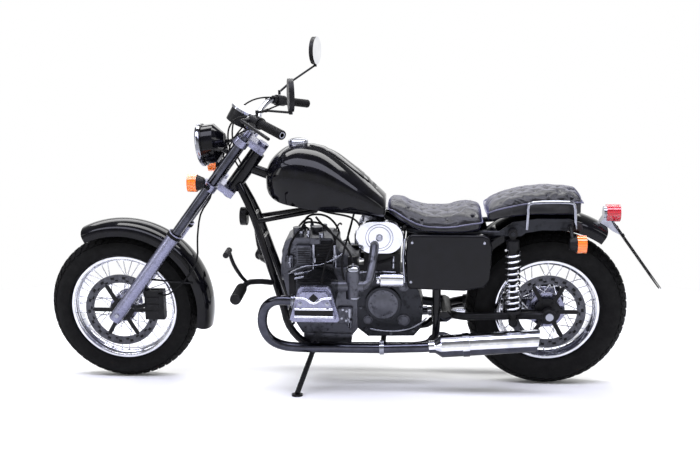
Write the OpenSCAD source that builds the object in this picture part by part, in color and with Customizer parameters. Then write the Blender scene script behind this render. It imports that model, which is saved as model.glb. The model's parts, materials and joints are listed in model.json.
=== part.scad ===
// Cruiser motorcycle with a flat-twin engine and shaft drive, parked on its side stand.
// Everything is laid out upright with the rear axle at x = 0, forward along +X and the
// left side along +Y, and parked() then leans the whole machine onto its stand.

/* [Stance] */
// Distance between the two axles
wheelbase = 1690; // [1640:5:1800]
// Lean to the left when parked on the side stand, in degrees
lean = 8.75; // [7:0.25:10.5]
// Angle of the steering axis from the vertical, in degrees
rake = 36.8; // [34:0.2:38]
// Distance from the steering axis forward to the fork legs
yoke_offset = 70; // [60:1:80]

/* [Wheels] */
// Outside diameter of the front tyre
front_tyre_d = 604; // [590:2:612]
// Width of the front tyre
front_tyre_w = 112; // [100:1:116]
// Diameter of the front rim where the tyre sits
front_bead_d = 412; // [400:2:440]
// Outside diameter of the rear tyre
rear_tyre_d = 632; // [600:2:650]
// Width of the rear tyre
rear_tyre_w = 140; // [130:1:146]
// Diameter of the rear rim where the tyre sits
rear_bead_d = 388; // [380:2:410]
// Wire spokes in each wheel
spoke_count = 36; // [24:4:40]
// Thickness of one spoke
spoke_d = 4; // [3:0.5:5]
// Radius of both wheel axles
axle_r = 8.5; // [7:0.5:11]
// Diameter of each brake disc
disc_d = 296; // [260:2:300]
// Thickness of each brake disc
disc_t = 5; // [4:0.5:7]
// Distance of each brake disc from the middle of the wheel
disc_y = 64; // [62:1:70]

/* [Fork] */
// Distance between the two fork legs
fork_spread = 220; // [214:2:240]
// Radius of the upper fork tubes
fork_tube_r = 19; // [17:0.5:21]
// Radius of the lower fork sliders
slider_r = 26; // [24:0.5:27]
// Height of the slider tops above the axle, along the leg
slider_top = 400; // [370:5:430]
// Height of the fork tube tops above the axle, along the leg
fork_top = 887; // [870:1:900]
// Height of the lower yoke above the axle, along the leg
lower_yoke = 650; // [640:2:660]
// Height of the upper yoke above the axle, along the leg
upper_yoke = 862; // [850:2:870]
// Thickness of each yoke
yoke_t = 28; // [20:1:32]
// Radius of the steering stem
stem_r = 15; // [12:0.5:18]

/* [Bars] */
// Radius of the handlebar tube
bar_r = 11; // [10:0.5:12.7]
// Radius of each rubber grip
grip_r = 17; // [15:0.5:20]
// Hollow inside the open ends of the handlebar
bar_bore_r = 8; // [6:0.5:9]
// Depth of the hollow in the bar ends
bar_bore_depth = 45; // [30:5:60]
// Distance from the middle to each bar end
bar_reach = 405; // [380:5:420]

/* [Lamps] */
// Radius of the headlight rim
headlight_r = 82; // [70:1:90]
// Radius of each indicator
indicator_r = 33; // [28:1:36]

/* [Engine] */
// Position of the cylinders ahead of the rear axle
cyl_x = 885; // [870:1:900]
// Height of the cylinders
cyl_z = 425; // [415:1:440]
// Outside radius of the cylinder fins
fin_r = 74; // [66:1:80]
// Fins on each cylinder
fin_count = 8; // [6:1:10]
// Half width of the crankcase
case_half = 80; // [70:1:90]
// Reach of the rocker covers from the middle
cover_reach = 352; // [340:1:370]

/* [Exhaust] */
// Radius of the exhaust pipes
pipe_r = 19; // [16:0.5:22]
// Radius of the silencers
silencer_r = 43; // [38:1:48]
// Radius of the opening at the end of each silencer
outlet_r = 20; // [16:0.5:24]
// Depth of the opening at the end of each silencer
outlet_depth = 60; // [40:5:80]
// Distance of the silencers from the middle
silencer_y = 210; // [205:1:220]

/* [Frame and body] */
// Radius of the backbone tube
spine_r = 20; // [17:0.5:22]
// Radius of the cradle tubes
cradle_r = 15; // [12:0.5:17]
// Radius of the tubes under the seats
rail_r = 11; // [9:0.5:13]
// Half width of the frame at the rear uprights
upright_y = 100; // [96:1:104]
// Sheet thickness of both fenders
fender_t = 3; // [2:0.5:5]
// Outside radius of the front fender
front_fender_r = 362; // [350:1:372]
// Half width of the front fender
front_fender_half = 76; // [72:1:80]
// Outside radius of the rear fender
rear_fender_r = 398; // [390:1:402]
// Half width of the rear fender
rear_fender_half = 90; // [84:1:92]
// Length of the number plate
plate_l = 290; // [200:5:300]
// Width of the number plate
plate_w = 190; // [150:5:220]
// Distance between the two holes of the number plate
plate_hole_spacing = 120; // [80:5:140]
// Radius of the holes of the number plate
plate_hole_r = 3.3; // [2.5:0.1:4]

/* [Side stand] */
// Radius of the stand leg
stand_leg_r = 10; // [8:0.5:12]
// Radius of the stand's pivot bolt
stand_pin_r = 7; // [5:0.5:9]
// Distance of the stand's foot from the middle
stand_foot_y = 288; // [270:1:310]

/* [Hidden] */
$fn = 48;

// Clearances: between seated pieces, and of a shaft in its bore
seat_gap = 0.3;
run_gap = 0.05;

paint = [0.03, 0.03, 0.04];
chrome = [0.82, 0.83, 0.86];
alloy = [0.5, 0.5, 0.53];
rubber = [0.06, 0.06, 0.06];
leather = [0.08, 0.08, 0.1];
amber = [0.95, 0.5, 0.1];

// Number plate: top edge, and the direction down along it
plate_t = 3;
plate_top = [-249, 0, 660];
plate_dir = unit([-172, 0, -236]);
// Handlebar mirrors; each stands at the height its owner left it
mirror_r = 57;
mirror_turn = 12;
left_mirror = [945, 392, 1205];
right_mirror = [938, -385, 1292];

// Origin under the middle of the overall length and width
tail_x = plate_top[0] + plate_l * plate_dir[0] + plate_t * plate_dir[2];
place_x = -(wheelbase + front_tyre_d / 2 + tail_x) / 2;
left_most = left_mirror[1] * cos(lean) + left_mirror[2] * sin(lean)
    + mirror_r * cos(mirror_turn) + 9 * sin(mirror_turn);
right_most = (cyl_z - 56) * sin(lean) - cover_reach * cos(lean);
place_y = -(left_most + right_most) / 2;

front_crown = front_tyre_w / 2;
rear_crown = rear_tyre_w / 2;
// Axle heights that set each leaning tyre down on the floor
front_axle_z = front_tyre_d / 2 - front_crown + front_crown / cos(lean);
rear_axle_z = rear_tyre_d / 2 - rear_crown + rear_crown / cos(lean);
leg_y = fork_spread / 2;
front_axle_half = leg_y + slider_r + 6;
hub_half = 54;

// ---------- helpers ----------

function unit(v) = v / norm(v);
function flip(v) = [v[0], -v[1], v[2]];

// A point s above the front axle along the fork leg, n ahead of it, y to the left
function leg(s, y = 0, n = 0) = [wheelbase - s * sin(rake) + n * cos(rake), y,
    front_axle_z + s * cos(rake) + n * sin(rake)];

// Smooth curve through the given points, with n steps between neighbours
function curve_at(a, b, c, d, t) = 0.5 * (2 * b + (c - a) * t
    + (2 * a - 5 * b + 4 * c - d) * t * t + (3 * b - a - 3 * c + d) * t * t * t);
function smooth(p, n) = concat([for (i = [0:len(p) - 2], k = [0:n - 1])
    curve_at(p[max(i - 1, 0)], p[i], p[i + 1], p[min(i + 2, len(p) - 1)], k / n)],
    [p[len(p) - 1]]);

module parked() translate([place_x, place_y, 0]) rotate([-lean, 0, 0]) children();

module both_sides() {
    children();
    mirror([0, 1, 0]) children();
}

// Puts a child's +Z from a towards b
module aim(a, b) {
    d = b - a;
    translate(a) rotate([0, acos(d[2] / norm(d)), atan2(d[1], d[0])]) children();
}

module rod(a, b, r) aim(a, b) cylinder(r = r, h = norm(b - a));

// A child's +Z along the bike's +Y, at a point
module across(p) translate(p) rotate([-90, 0, 0]) children();

// Solid through rings of points that all have the same count
module loft(rings) {
    m = len(rings[0]);
    n = len(rings);
    polyhedron([for (ring = rings) for (p = ring) p],
        concat([[for (k = [0:m - 1]) k]],
            [for (i = [0:n - 2], k = [0:m - 1]) let (j = (k + 1) % m)
                [i * m + k, (i + 1) * m + k, (i + 1) * m + j]],
            [for (i = [0:n - 2], k = [0:m - 1]) let (j = (k + 1) % m)
                [i * m + k, (i + 1) * m + j, i * m + j]],
            [[for (k = [m - 1:-1:0]) (n - 1) * m + k]]));
}

// Round bar along points; its path never runs along ref
module bent_bar(p, r, sides = 10, ref = [0, 0, 1]) {
    last = len(p) - 1;
    loft([for (i = [0:last])
        let (t = unit(p[min(i + 1, last)] - p[max(i - 1, 0)]), a = unit(cross(t, ref)),
            b = cross(a, t))
        [for (k = [0:sides - 1]) p[i] + r * (cos(360 * k / sides) * a
            - sin(360 * k / sides) * b)]]);
}

// Turned shape about the bike's Y axis at point p; outline is [radius, y]
module turned(p, outline) translate(p) rotate([-90, 0, 0]) rotate_extrude(angle = 360)
    polygon(outline);

// ---------- wheels ----------

rim_lip = 9;
function rim_half(w) = w * 0.31 - 1;

// Half outline of a tyre's section from bead to crown, mirrored to the other side
module tyre(p, d, w, bead_d) {
    crown = w / 2;
    mid = d / 2 - crown;
    bead = bead_d / 2 + seat_gap;
    seat = rim_half(w) - seat_gap;
    side = [for (a = [-24:12:84]) [mid + crown * sin(a), crown * cos(a)], [d / 2, 0]];
    foot = [[bead, seat], [bead + rim_lip + 1, seat], [bead + rim_lip + 2, seat + 7]];
    half = concat(foot, side);
    turned(p, concat(half, [for (i = [len(half) - 2:-1:0]) [half[i][0], -half[i][1]]]));
}

module rim(p, bead_d, w) {
    bead = bead_d / 2;
    half = rim_half(w);
    lip = rim_lip;
    well = 12;
    wall = 3;
    top = [[bead - well, 0], [bead - well, half * 0.55], [bead, half * 0.85],
        [bead, half], [bead + lip, half], [bead + lip, half + 6],
        [bead - wall, half + 4], [bead - wall - 1, half * 0.8],
        [bead - well - wall, half * 0.5], [bead - well - wall, 0]];
    turned(p, concat([for (i = [0:4]) top[i]], [for (i = [5:8]) top[i]],
        [for (i = [8:-1:5]) [top[i][0], -top[i][1]]],
        [for (i = [4:-1:1]) [top[i][0], -top[i][1]]]));
}

// Hub with its wire spokes; the spokes stop just short of the rim
module hub(p, bead_d, flange_r, core_r) {
    flange_y = 34;
    flange_t = 8;
    end_r = bead_d / 2 - 15 - seat_gap - spoke_d * 0.2;
    pairs = spoke_count / 2;
    turned(p, [[axle_r + run_gap, -hub_half], [core_r * 0.6, -hub_half],
        [core_r * 0.6, -flange_y - flange_t], [flange_r, -flange_y - flange_t],
        [flange_r, -flange_y], [core_r, -flange_y + 12], [core_r, flange_y - 12],
        [flange_r, flange_y], [flange_r, flange_y + flange_t],
        [core_r * 0.6, flange_y + flange_t], [core_r * 0.6, hub_half],
        [axle_r + run_gap, hub_half]]);
    for (i = [0:pairs - 1], side = [-1, 1]) {
        lead = i % 2 == 0 ? 1 : -1;
        a = 360 * i / pairs + (side > 0 ? 180 / pairs : 0);
        b = a + lead * 38;
        from_r = flange_r - 6;
        y0 = side * (flange_y + flange_t / 2 + lead * 2);
        rod(p + [from_r * cos(b), y0, from_r * sin(b)],
            p + [end_r * cos(a), side * 6, end_r * sin(a)], spoke_d / 2, $fn = 16);
    }
}

module brake_disc(p, core_r) {
    band = 34;
    arms = 6;
    carrier_r = disc_d / 2 - band;
    difference() {
        union() {
            across(p + [0, disc_y - disc_t / 2, 0]) difference() {
                cylinder(r = disc_d / 2, h = disc_t);
                translate([0, 0, -1]) cylinder(r = carrier_r, h = disc_t + 2);
            }
            across(p + [0, hub_half + seat_gap, 0])
                cylinder(r = core_r + 12, h = disc_y + disc_t / 2 - hub_half + 0.7);
            for (i = [0:arms - 1]) translate(p + [0, disc_y - disc_t / 2 + 0.7, 0])
                rotate([0, 60 * i, 0]) translate([core_r, 0, -9])
                cube([carrier_r - core_r + 5, disc_t - 1.4, 18]);
        }
        across(p + [0, hub_half - 1, 0]) cylinder(r = axle_r + 3, h = 40);
    }
}

front_axle = [wheelbase, 0, front_axle_z];
rear_axle = [0, 0, rear_axle_z];

module front_tyre() color(rubber) parked()
    tyre(front_axle, front_tyre_d, front_tyre_w, front_bead_d);
module front_rim() color(chrome) parked() rim(front_axle, front_bead_d, front_tyre_w);
module front_hub() color(alloy) parked() hub(front_axle, front_bead_d, 56, 34);
module front_disc() color(alloy) parked() brake_disc(front_axle, 34);
module rear_tyre() color(rubber) parked()
    tyre(rear_axle, rear_tyre_d, rear_tyre_w, rear_bead_d);
module rear_rim() color(chrome) parked() rim(rear_axle, rear_bead_d, rear_tyre_w);
module rear_hub() color(alloy) parked() hub(rear_axle, rear_bead_d, 70, 44);
module rear_disc() color(alloy) parked() brake_disc(rear_axle, 40);

// ---------- fork and everything that steers ----------

module front_axle() color(chrome) parked()
    across([wheelbase, -front_axle_half, front_axle_z]) {
        cylinder(r = axle_r, h = 2 * front_axle_half);
        cylinder(r = axle_r + 6, h = 5.5);
    }

module slider() difference() {
    union() {
        rod(leg(-30, leg_y), leg(slider_top, leg_y), slider_r);
        rod(leg(slider_top, leg_y), leg(slider_top + 14, leg_y), slider_r + 3);
    }
    rod(leg(120, leg_y), leg(slider_top + 15, leg_y), fork_tube_r + run_gap);
    across([wheelbase, leg_y - slider_r - 1, front_axle_z])
        cylinder(r = axle_r + run_gap, h = 2 * slider_r + 2);
}

module fork_sliders() color(alloy) parked() both_sides() slider();
module fork_tubes() color(chrome) parked() both_sides()
    rod(leg(121, leg_y), leg(fork_top, leg_y), fork_tube_r);

// Plate between the legs, holding the stem
module yoke(s) difference() {
    union() {
        both_sides() rod(leg(s - yoke_t / 2, leg_y), leg(s + yoke_t / 2, leg_y),
            fork_tube_r + 11);
        aim(leg(s - yoke_t / 2), leg(s + yoke_t / 2)) {
            translate([-22, -leg_y, 0]) cube([44, 2 * leg_y, yoke_t]);
            translate([-22, -45, 0]) cube([yoke_offset + 44, 90, yoke_t]);
        }
    }
    both_sides() rod(leg(s - yoke_t, leg_y), leg(s + yoke_t, leg_y),
        fork_tube_r + run_gap);
}

stem_low = lower_yoke - yoke_t / 2 - 12;
stem_high = upper_yoke + yoke_t / 2 + 12;

module fork_yokes() color(alloy) parked() {
    yoke(lower_yoke);
    yoke(upper_yoke);
    rod(leg(stem_low, 0, -yoke_offset), leg(stem_high, 0, -yoke_offset), stem_r);
    rod(leg(upper_yoke + yoke_t / 2, 0, -yoke_offset),
        leg(stem_high, 0, -yoke_offset), stem_r + 7);
    both_sides() rod(leg(upper_yoke + yoke_t / 2, 45),
        leg(riser_top - bar_r - 9 - seat_gap, 45), 14);
}

riser_top = upper_yoke + yoke_t / 2 + 46;
// Left half of the handlebar from the middle to where the grip starts
grip_in = [1062, bar_reach - 92, 1092];
grip_end = [976, bar_reach, 1068];
grip_dir = unit(grip_end - grip_in);
bar_straight = grip_in - 66 * grip_dir;
bar_curve = smooth([leg(riser_top, 0), leg(riser_top, 60), leg(riser_top, 96) + [0, 0, 3],
    [1140, 160, 1072], [1124, 222, 1096], bar_straight], 3);

module handlebar() color(chrome) parked() {
    bent_bar(concat([for (i = [len(bar_curve) - 1:-1:1]) flip(bar_curve[i])], bar_curve),
        bar_r, 12);
    both_sides() difference() {
        rod(bar_straight - 3 * grip_dir, grip_end, bar_r);
        rod(grip_end - bar_bore_depth * grip_dir, grip_end + grip_dir, bar_bore_r);
    }
    both_sides() rod(leg(riser_top, 33), leg(riser_top, 57), bar_r + 9);
}

module grips() color(rubber) parked() both_sides() difference() {
    rod(grip_in + 8 * grip_dir, grip_end - grip_dir, grip_r);
    rod(grip_in, grip_end + 4 * grip_dir, bar_r + run_gap);
}

// Switch housing, lever perch and lever on each side of the bar
module hand_controls() color(paint) parked() both_sides() {
    d = grip_dir;
    ahead = unit(cross(d, [0, 0, 1]));
    difference() {
        union() {
            rod(grip_in - 46 * d, grip_in - 4 * d, 22);
            rod(grip_in - 62 * d, grip_in - 46 * d, 17);
            rod(grip_in - 54 * d, grip_in - 54 * d + 44 * ahead, 9);
        }
        rod(grip_in - 70 * d, grip_in + 2 * d, bar_r + run_gap);
    }
    rod(grip_in - 62 * d + 44 * ahead, grip_end - 8 * d + 52 * ahead - [0, 0, 10], 6);
}

module mirror_at(base, head, turn) {
    knee = 0.7 * base + 0.3 * head - [0, 0, 4];
    rod(base, base + [0, 0, 18], 6);
    rod(base + [0, 0, 11], knee, 4.6);
    rod(knee + 7 * unit(base + [0, 0, 11] - knee), knee + 7 * unit(knee - base), 6);
    rod(knee, head - [0, 0, 60], 4.3);
    translate(head) rotate([0, 90, turn]) {
        translate([0, 0, -9]) cylinder(r = mirror_r, h = 18);
    }
    rod(head - [0, 0, 66], head - [0, 0, 52], 7.5);
}

module mirrors() color(paint) parked() {
    foot = grip_in - 25 * grip_dir + [0, 0, 24.2];
    mirror_at(foot, left_mirror, mirror_turn);
    mirror_at(flip(foot), right_mirror, -mirror_turn);
}

gauge_c = [1194, 0, 1074];
gauge_dir = unit([-0.5, 0, 0.87]);

module gauge() color(chrome) parked() {
    rod(gauge_c - 28 * gauge_dir, gauge_c + 26 * gauge_dir, 44);
    rod(gauge_c + 26 * gauge_dir, gauge_c + 36 * gauge_dir, 49);
    rod(leg(upper_yoke + yoke_t / 2 + seat_gap, 0, 8),
        leg(upper_yoke + yoke_t / 2 + 24, 0, 8), 9);
    rod(leg(upper_yoke + yoke_t / 2 + 16, 0, 8), gauge_c - 22 * gauge_dir, 7);
}

lamp_c = [1352, 0, 962];
lamp_dir = unit([1, 0, -0.13]);

module headlight_shell() color(paint) parked() difference() {
    union() {
        rod(lamp_c - 18 * lamp_dir, lamp_c - 4 * lamp_dir, headlight_r);
        rod(lamp_c - 62 * lamp_dir, lamp_c - 18 * lamp_dir, headlight_r - 6);
        aim(lamp_c - 62 * lamp_dir, lamp_c - 100 * lamp_dir)
            cylinder(r1 = headlight_r - 6, r2 = 34, h = 38);
        both_sides() {
            rod(lamp_c + [-50, headlight_r - 18, -4], leg(800, leg_y, fork_tube_r + 16), 7);
            rod(leg(800, leg_y, fork_tube_r + 18),
                leg(800, leg_y, fork_tube_r + seat_gap), 9);
        }
    }
    rod(lamp_c - 16 * lamp_dir, lamp_c, headlight_r - 8);
}

module headlight_lens() color([0.9, 0.95, 1]) parked()
    rod(lamp_c - 16 * lamp_dir, lamp_c + 3 * lamp_dir, headlight_r - 8 - seat_gap);

module indicator(c, dir) {
    aim(c, c + dir) {
        translate([0, 0, -8]) cylinder(r = indicator_r, h = 34);
        translate([0, 0, -34]) cylinder(r1 = 20, r2 = indicator_r - 2, h = 26);
    }
}

front_blinker = [1338, 190, 852];

module front_indicators() color(amber) parked() both_sides() {
    indicator(front_blinker, [1, 0, 0]);
    rod(front_blinker + [-20, 0, 0], leg(lower_yoke, leg_y + fork_tube_r + 26), 7);
    rod(leg(lower_yoke, leg_y + fork_tube_r + 28),
        leg(lower_yoke, leg_y + fork_tube_r + 11 + seat_gap), 8);
}

// U section of a fender: outline of [radius, y] swept about the wheel
function fender_outline(r, half, skirt, t) =
    let (arc = [for (a = [90:-15:-90]) [r - 34 + 34 * cos(a), half * sin(a)]])
    let (inner = [for (a = [-90:15:90]) [r - 34 + (34 - t) * cos(a), (half - t) * sin(a)]])
    concat([[skirt, half]], arc, [[skirt, -half], [skirt, t - half]], inner,
        [[skirt, half - t]]);

// Fender from one angle to another, measured up from straight ahead
module fender(p, from, to, outline) translate(p) rotate([90, 0, 0]) rotate([0, 0, from])
    rotate_extrude(angle = to - from, $fn = 64) polygon(outline);

// Inner side of the sliders, less the clearance of a piece seated there
slider_in = leg_y - slider_r - seat_gap;

module front_fender() color(paint) parked() {
    fender(front_axle, 65, 193,
        fender_outline(front_fender_r, front_fender_half, 308, fender_t));
    // Pads and stays that hold the fender to the sliders
    both_sides() rod(leg(330, front_fender_half - 1), leg(330, slider_in), 9);
    both_sides() rod([wheelbase - 296, slider_in - 4, front_axle_z + 120],
        leg(170, slider_in - 4), 4);
}

front_caliper_c = [wheelbase - 128, 0, front_axle_z + 26];

// Two halves of a caliper joined outside the disc's edge
module caliper(c, w, h, reach) {
    slot = disc_t + 10.4;
    difference() {
        translate(c + [-w, disc_y - 22, -h / 2]) cube([w + reach, 40, h]);
        translate(c + [-w + 18, disc_y - slot / 2, -h / 2 - 1])
            cube([w + reach, slot, h + 2]);
    }
}

module front_caliper() color(paint) parked() {
    caliper(front_caliper_c, 48, 120, 30);
    rod(front_caliper_c + [24, disc_y + 14.5, 0], leg(60, leg_y - 2, -slider_r - 12), 8);
    rod(leg(60, leg_y - 2, -slider_r - 14), leg(60, leg_y - 2, -slider_r - seat_gap), 9);
}

module control_cables() color(rubber) parked() {
    hose_top = leg(lower_yoke - yoke_t / 2 - 1.8, 60, -8);
    bent_bar(smooth([hose_top, hose_top + [8, 2, -40], [1352, 64, 700], [1366, 76, 610],
        [1370, 92, 520], [1420, 97, 440], [1490, 92, 380],
        front_caliper_c + [-30, disc_y + 21.8, 50]], 3), 3.5, 8, [0, 1, 0]);
}

// ---------- frame ----------

spine_front = leg(770, 0, -yoke_offset);
spine_back = [560, 0, 655];
function spine_z(x) = spine_back[2] + (x - spine_back[0])
    * (spine_front[2] - spine_back[2]) / (spine_front[0] - spine_back[0]);

pivot = [392, 0, 305];
pivot_r = 8;
rail_z = 640;

module main_frame() color(paint) parked() {
    difference() {
        union() {
            rod(leg(lower_yoke + yoke_t / 2 + 5, 0, -yoke_offset),
                leg(upper_yoke - yoke_t / 2 - 5, 0, -yoke_offset), 30);
            rod(spine_front, spine_back, spine_r);
            // Down tubes, lower rails and rear uprights
            both_sides() bent_bar(smooth([leg(700, 26, -yoke_offset - 12), [1148, 44, 690],
                [1095, 60, 520], [1040, 74, 346], [1012, 92, 256], [950, 112, 196],
                [860, 118, 186], [640, 118, 186], [490, 112, 190], [446, 104, 216],
                [432, upright_y, 270], [430, upright_y, rail_z - rail_r - 1]], 3),
                cradle_r, 12, [0, 1, 0]);
            rod([1148, -44, 690], [1148, 44, 690], 11);
            rod([1114, -54, 600], [1114, 54, 600], 9);
            both_sides() rod([1136, 48, 668], [905, 30, 709], 9);
            rod([905, -32, 709], [905, 32, 709], 9);
            rod([905, 0, 709], [905, 0, spine_z(905)], 9);
            rod([1022, -88, 270], [1022, 88, 270], 12);
            rod([640, -118, 186], [640, 118, 186], 12);
            rod([430, -upright_y, 600], [430, upright_y, 600], 12);
            rod([430, 0, 600], spine_back, 16);
            rod([560, -50, 646], [560, 50, 646], 12);
            // Lugs and bolt that hold the swing arm's pivot
            both_sides() across([0, upright_y - 5, 0]) linear_extrude(12)
                polygon([[430, -325], [pivot[0], -325], [pivot[0] - 16, -310],
                [pivot[0] - 16, -296], [pivot[0], -285], [430, -285]]);
            across([pivot[0], -upright_y - 4, pivot[2]])
                cylinder(r = pivot_r, h = 2 * upright_y + 8);
        }
        rod(leg(lower_yoke, 0, -yoke_offset), leg(upper_yoke, 0, -yoke_offset),
            stem_r + run_gap);
    }
    stand_bracket();
}

// Rails under the seats, ending in the struts that carry the fender and the shocks
strut_y = 112;
strut_t = 8;
shock_top = [150, strut_y + strut_t, 652];

module rear_subframe() color(alloy) parked() {
    both_sides() {
        bent_bar(smooth([[547, 50, 643], [430, upright_y - 3, rail_z],
            [270, upright_y, rail_z + 3], [178, strut_y + 2, rail_z + 6]], 3), rail_r, 12);
        translate([0, strut_y, 0]) rotate([90, 0, 0]) translate([0, 0, -strut_t])
            linear_extrude(strut_t) polygon([[190, 636], [200, 655], [150, 690],
                [60, 704], [-60, 704], [-108, 690], [-112, 660], [-60, 660],
                [40, 660], [100, 650], [118, 636]]);
        across([shock_top[0], strut_y + 1, shock_top[2]]) cylinder(r = 8, h = strut_t + 35);
        // Bolts to the fender's sides
        for (x = [-60, 60]) across([x, rear_fender_half + seat_gap, 669])
            cylinder(r = 6, h = strut_y - rear_fender_half);
    }
    rod([400, -upright_y, rail_z], [400, upright_y, rail_z], rail_r - 2);
}

// ---------- engine and drive ----------

// Side outline of x and z, given a width centred on the middle
module slab(outline, half) rotate([90, 0, 0]) linear_extrude(2 * half, center = true)
    polygon(outline);

engine_back = 742;

module engine_block() color(alloy) parked() {
    slab([[960, 222], [984, 262], [1010, 350], [1030, 440], [1034, 560], [1022, 596],
        [1000, 612], [842, 612], [828, 600], [812, 560], [engine_back, 520],
        [engine_back, 240], [762, 216]], case_half);
    slab([[940, 172], [955, 190], [955, 223], [765, 223], [765, 190], [780, 172]], 88);
    rod([1026, 0, 470], [1044, 0, 470], 52);
    both_sides() across([cyl_x, case_half - 4, cyl_z]) cylinder(r = fin_r + 4, h = 14);
    rod([980, 20, 608], [980, 20, 640], 16);
    rod([905, -25, 608], [905, -25, 632], 22);
}

fin_step = 16;
barrel_from = case_half + 10 + seat_gap;
head_from = barrel_from + fin_count * fin_step + 4;
head_to = 300;

module cylinders() color(alloy) parked() both_sides() {
    turned([cyl_x, barrel_from, cyl_z], concat([[0, 0]],
        [for (i = [0:fin_count - 1], e = [[56, 0], [56, 8], [fin_r, 9], [fin_r, 12],
            [56, 13]]) [e[0], e[1] + i * fin_step]],
        [[56, head_from - barrel_from], [0, head_from - barrel_from]]));
    head_w = head_to - head_from;
    translate([cyl_x - 62, head_from, cyl_z - 58]) cube([124, head_w, 116]);
    for (i = [0:3]) translate([cyl_x - 72, head_from + 2 + i * head_w / 4, cyl_z - 68])
        cube([144, 7, 136]);
    rod([cyl_x + 60, 262, cyl_z - 7], [cyl_x + 80, 262, cyl_z - 7], 27);
    rod(intake + [24, 0, 0], intake, 22);
}

module rocker_covers() color(chrome) parked() both_sides() {
    base_t = 26;
    translate([cyl_x, head_to + base_t + seat_gap, cyl_z]) rotate([90, 0, 0])
        linear_extrude(base_t) polygon([[-84, -68], [84, -68], [93, -58], [60, 58],
        [50, 67], [-50, 67], [-60, 58], [-93, -58]]);
    translate([cyl_x, cover_reach, cyl_z]) rotate([90, 0, 0])
        linear_extrude(cover_reach - head_to - base_t) polygon([[-72, -56], [72, -56],
        [80, -48], [52, 48], [44, 56], [-44, 56], [-52, 48], [-80, -48]]);
}

module gearbox() color(alloy) parked() {
    face = engine_back - seat_gap;
    slab([[face, 244], [face, 470], [700, 478], [560, 470], [500, 400],
        [484, 330], [490, 250], [520, 214], [700, 210]], 78);
    both_sides() across([640, 76, 350]) cylinder(r = 70, h = 20);
    translate([588, 70, 438]) cube([40, 31.7, 24]);
    // Drive shaft to the swing arm, right of the middle
    rod([500, -58, 318], [pivot[0] + 20 + seat_gap, -58, pivot[2]], 18);
}

module starter_motor() color(chrome) parked() {
    rod([560, 130, 462], [650, 130, 462], 28);
    rod([650, 130, 462], [664, 130, 462], 20);
}

air_c = [653, 0, 626];

module air_cleaner() color(chrome) parked() {
    both_sides() across(air_c + [0, 84, 0]) linear_extrude(36) {
        translate([-28, 0]) circle(r = 62);
        translate([28, 0]) circle(r = 62);
        translate([-28, -62]) square([56, 124]);
    }
    translate(air_c - [70, 85, 50]) cube([140, 170, 64]);
    translate([574, -104, 478.2]) cube([140, 208, 78]);
    translate(air_c - [50, 60, 72]) cube([100, 120, 30]);
}

intake = [cyl_x - 84, 262, cyl_z + 53];
carb_c = intake - [56, 0, 0];

module carburettors() color(alloy) parked() both_sides() {
    rod(intake - [seat_gap, 0, 0], carb_c + [-38, 0, 0], 20);
    rod(carb_c + [2, 0, -46], carb_c + [2, 0, 60], 26);
    bent_bar(concat(smooth([carb_c + [-30, 0, 0], carb_c + [-54, -16, 12],
        carb_c + [-68, -62, 66], [672, 142, 592]], 3), [[672, 130, 592],
        [672, 120.4, 592]]), 17, 10);
}

silencer_in = [461.5, silencer_y, 220];
silencer_out = [38, silencer_y, 254];
silencer_dir = unit(silencer_out - silencer_in);
header_path = concat([[cyl_x + 80.4, 262, cyl_z - 7]],
    smooth([[cyl_x + 92, 262, cyl_z - 7], [1014, 257, 418],
    [1052, 246, 408], [1082, 237, 380], [1096, 230, 335], [1092, 223, 286],
    [1066, 218, 243], [1020, 215, 220], [955, 214, 213], [850, 213, 212],
    [650, 212, 212], silencer_in - 26 * silencer_dir], 3),
    [silencer_in - seat_gap * silencer_dir]);

module exhaust_headers() color(chrome) parked() both_sides()
    bent_bar(header_path, pipe_r, 12, [0, 1, 0]);

// Face of the frame's lower rear bend that the silencer hangers meet
hanger_end = [423.4, 116.6, 240];

module silencers() color(chrome) parked() both_sides() {
    d = silencer_dir;
    l = norm(silencer_out - silencer_in);
    aim(silencer_in, silencer_out) difference() {
        union() {
            cylinder(r = pipe_r + 5, h = 24);
            translate([0, 0, 22]) cylinder(r1 = pipe_r + 5, r2 = silencer_r, h = 26);
            translate([0, 0, 48]) cylinder(r = silencer_r, h = l - 48);
            translate([0, 0, 128]) cylinder(r = silencer_r + 3, h = 26);
        }
        translate([0, 0, l - outlet_depth - 26]) cylinder(r = outlet_r, h = outlet_depth + 30);
        translate([0, 0, l - 26]) cylinder(r = silencer_r - 4, h = 30);
        translate([-60, -60, l]) rotate([0, 14, 0]) translate([-20, 0, 0])
            cube([160, 120, 60]);
    }
    // Hanger from the frame's lower end to the silencer
    bent_bar(smooth([silencer_in + 100 * d + [0, 6 - silencer_r, 0],
        [368, 140, 232], [400, 122, 240], hanger_end - [12, -2.5, 0], hanger_end], 3), 8, 8);
}

// ---------- tank, seats and covers ----------

tunnel = spine_r + 6;

// Cross section of the tank at x: rounded above, with a tunnel for the backbone below
function tank_ring(x, top, side, low, half) =
    let (roof = max(low + 6, spine_z(x) + tunnel))
    concat([for (a = [0:15:180]) [x, half * cos(a), side + (top - side) * sin(a)]],
        [[x, -half * 0.97, low + 0.35 * (side - low)], [x, -half * 0.84, low + 4],
        [x, -half * 0.7, low], [x, -tunnel, low], [x, -tunnel, roof - 6],
        [x, -tunnel + 8, roof], [x, tunnel - 8, roof], [x, tunnel, roof - 6],
        [x, tunnel, low], [x, half * 0.7, low], [x, half * 0.84, low + 4],
        [x, half * 0.97, low + 0.35 * (side - low)]]);

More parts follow.
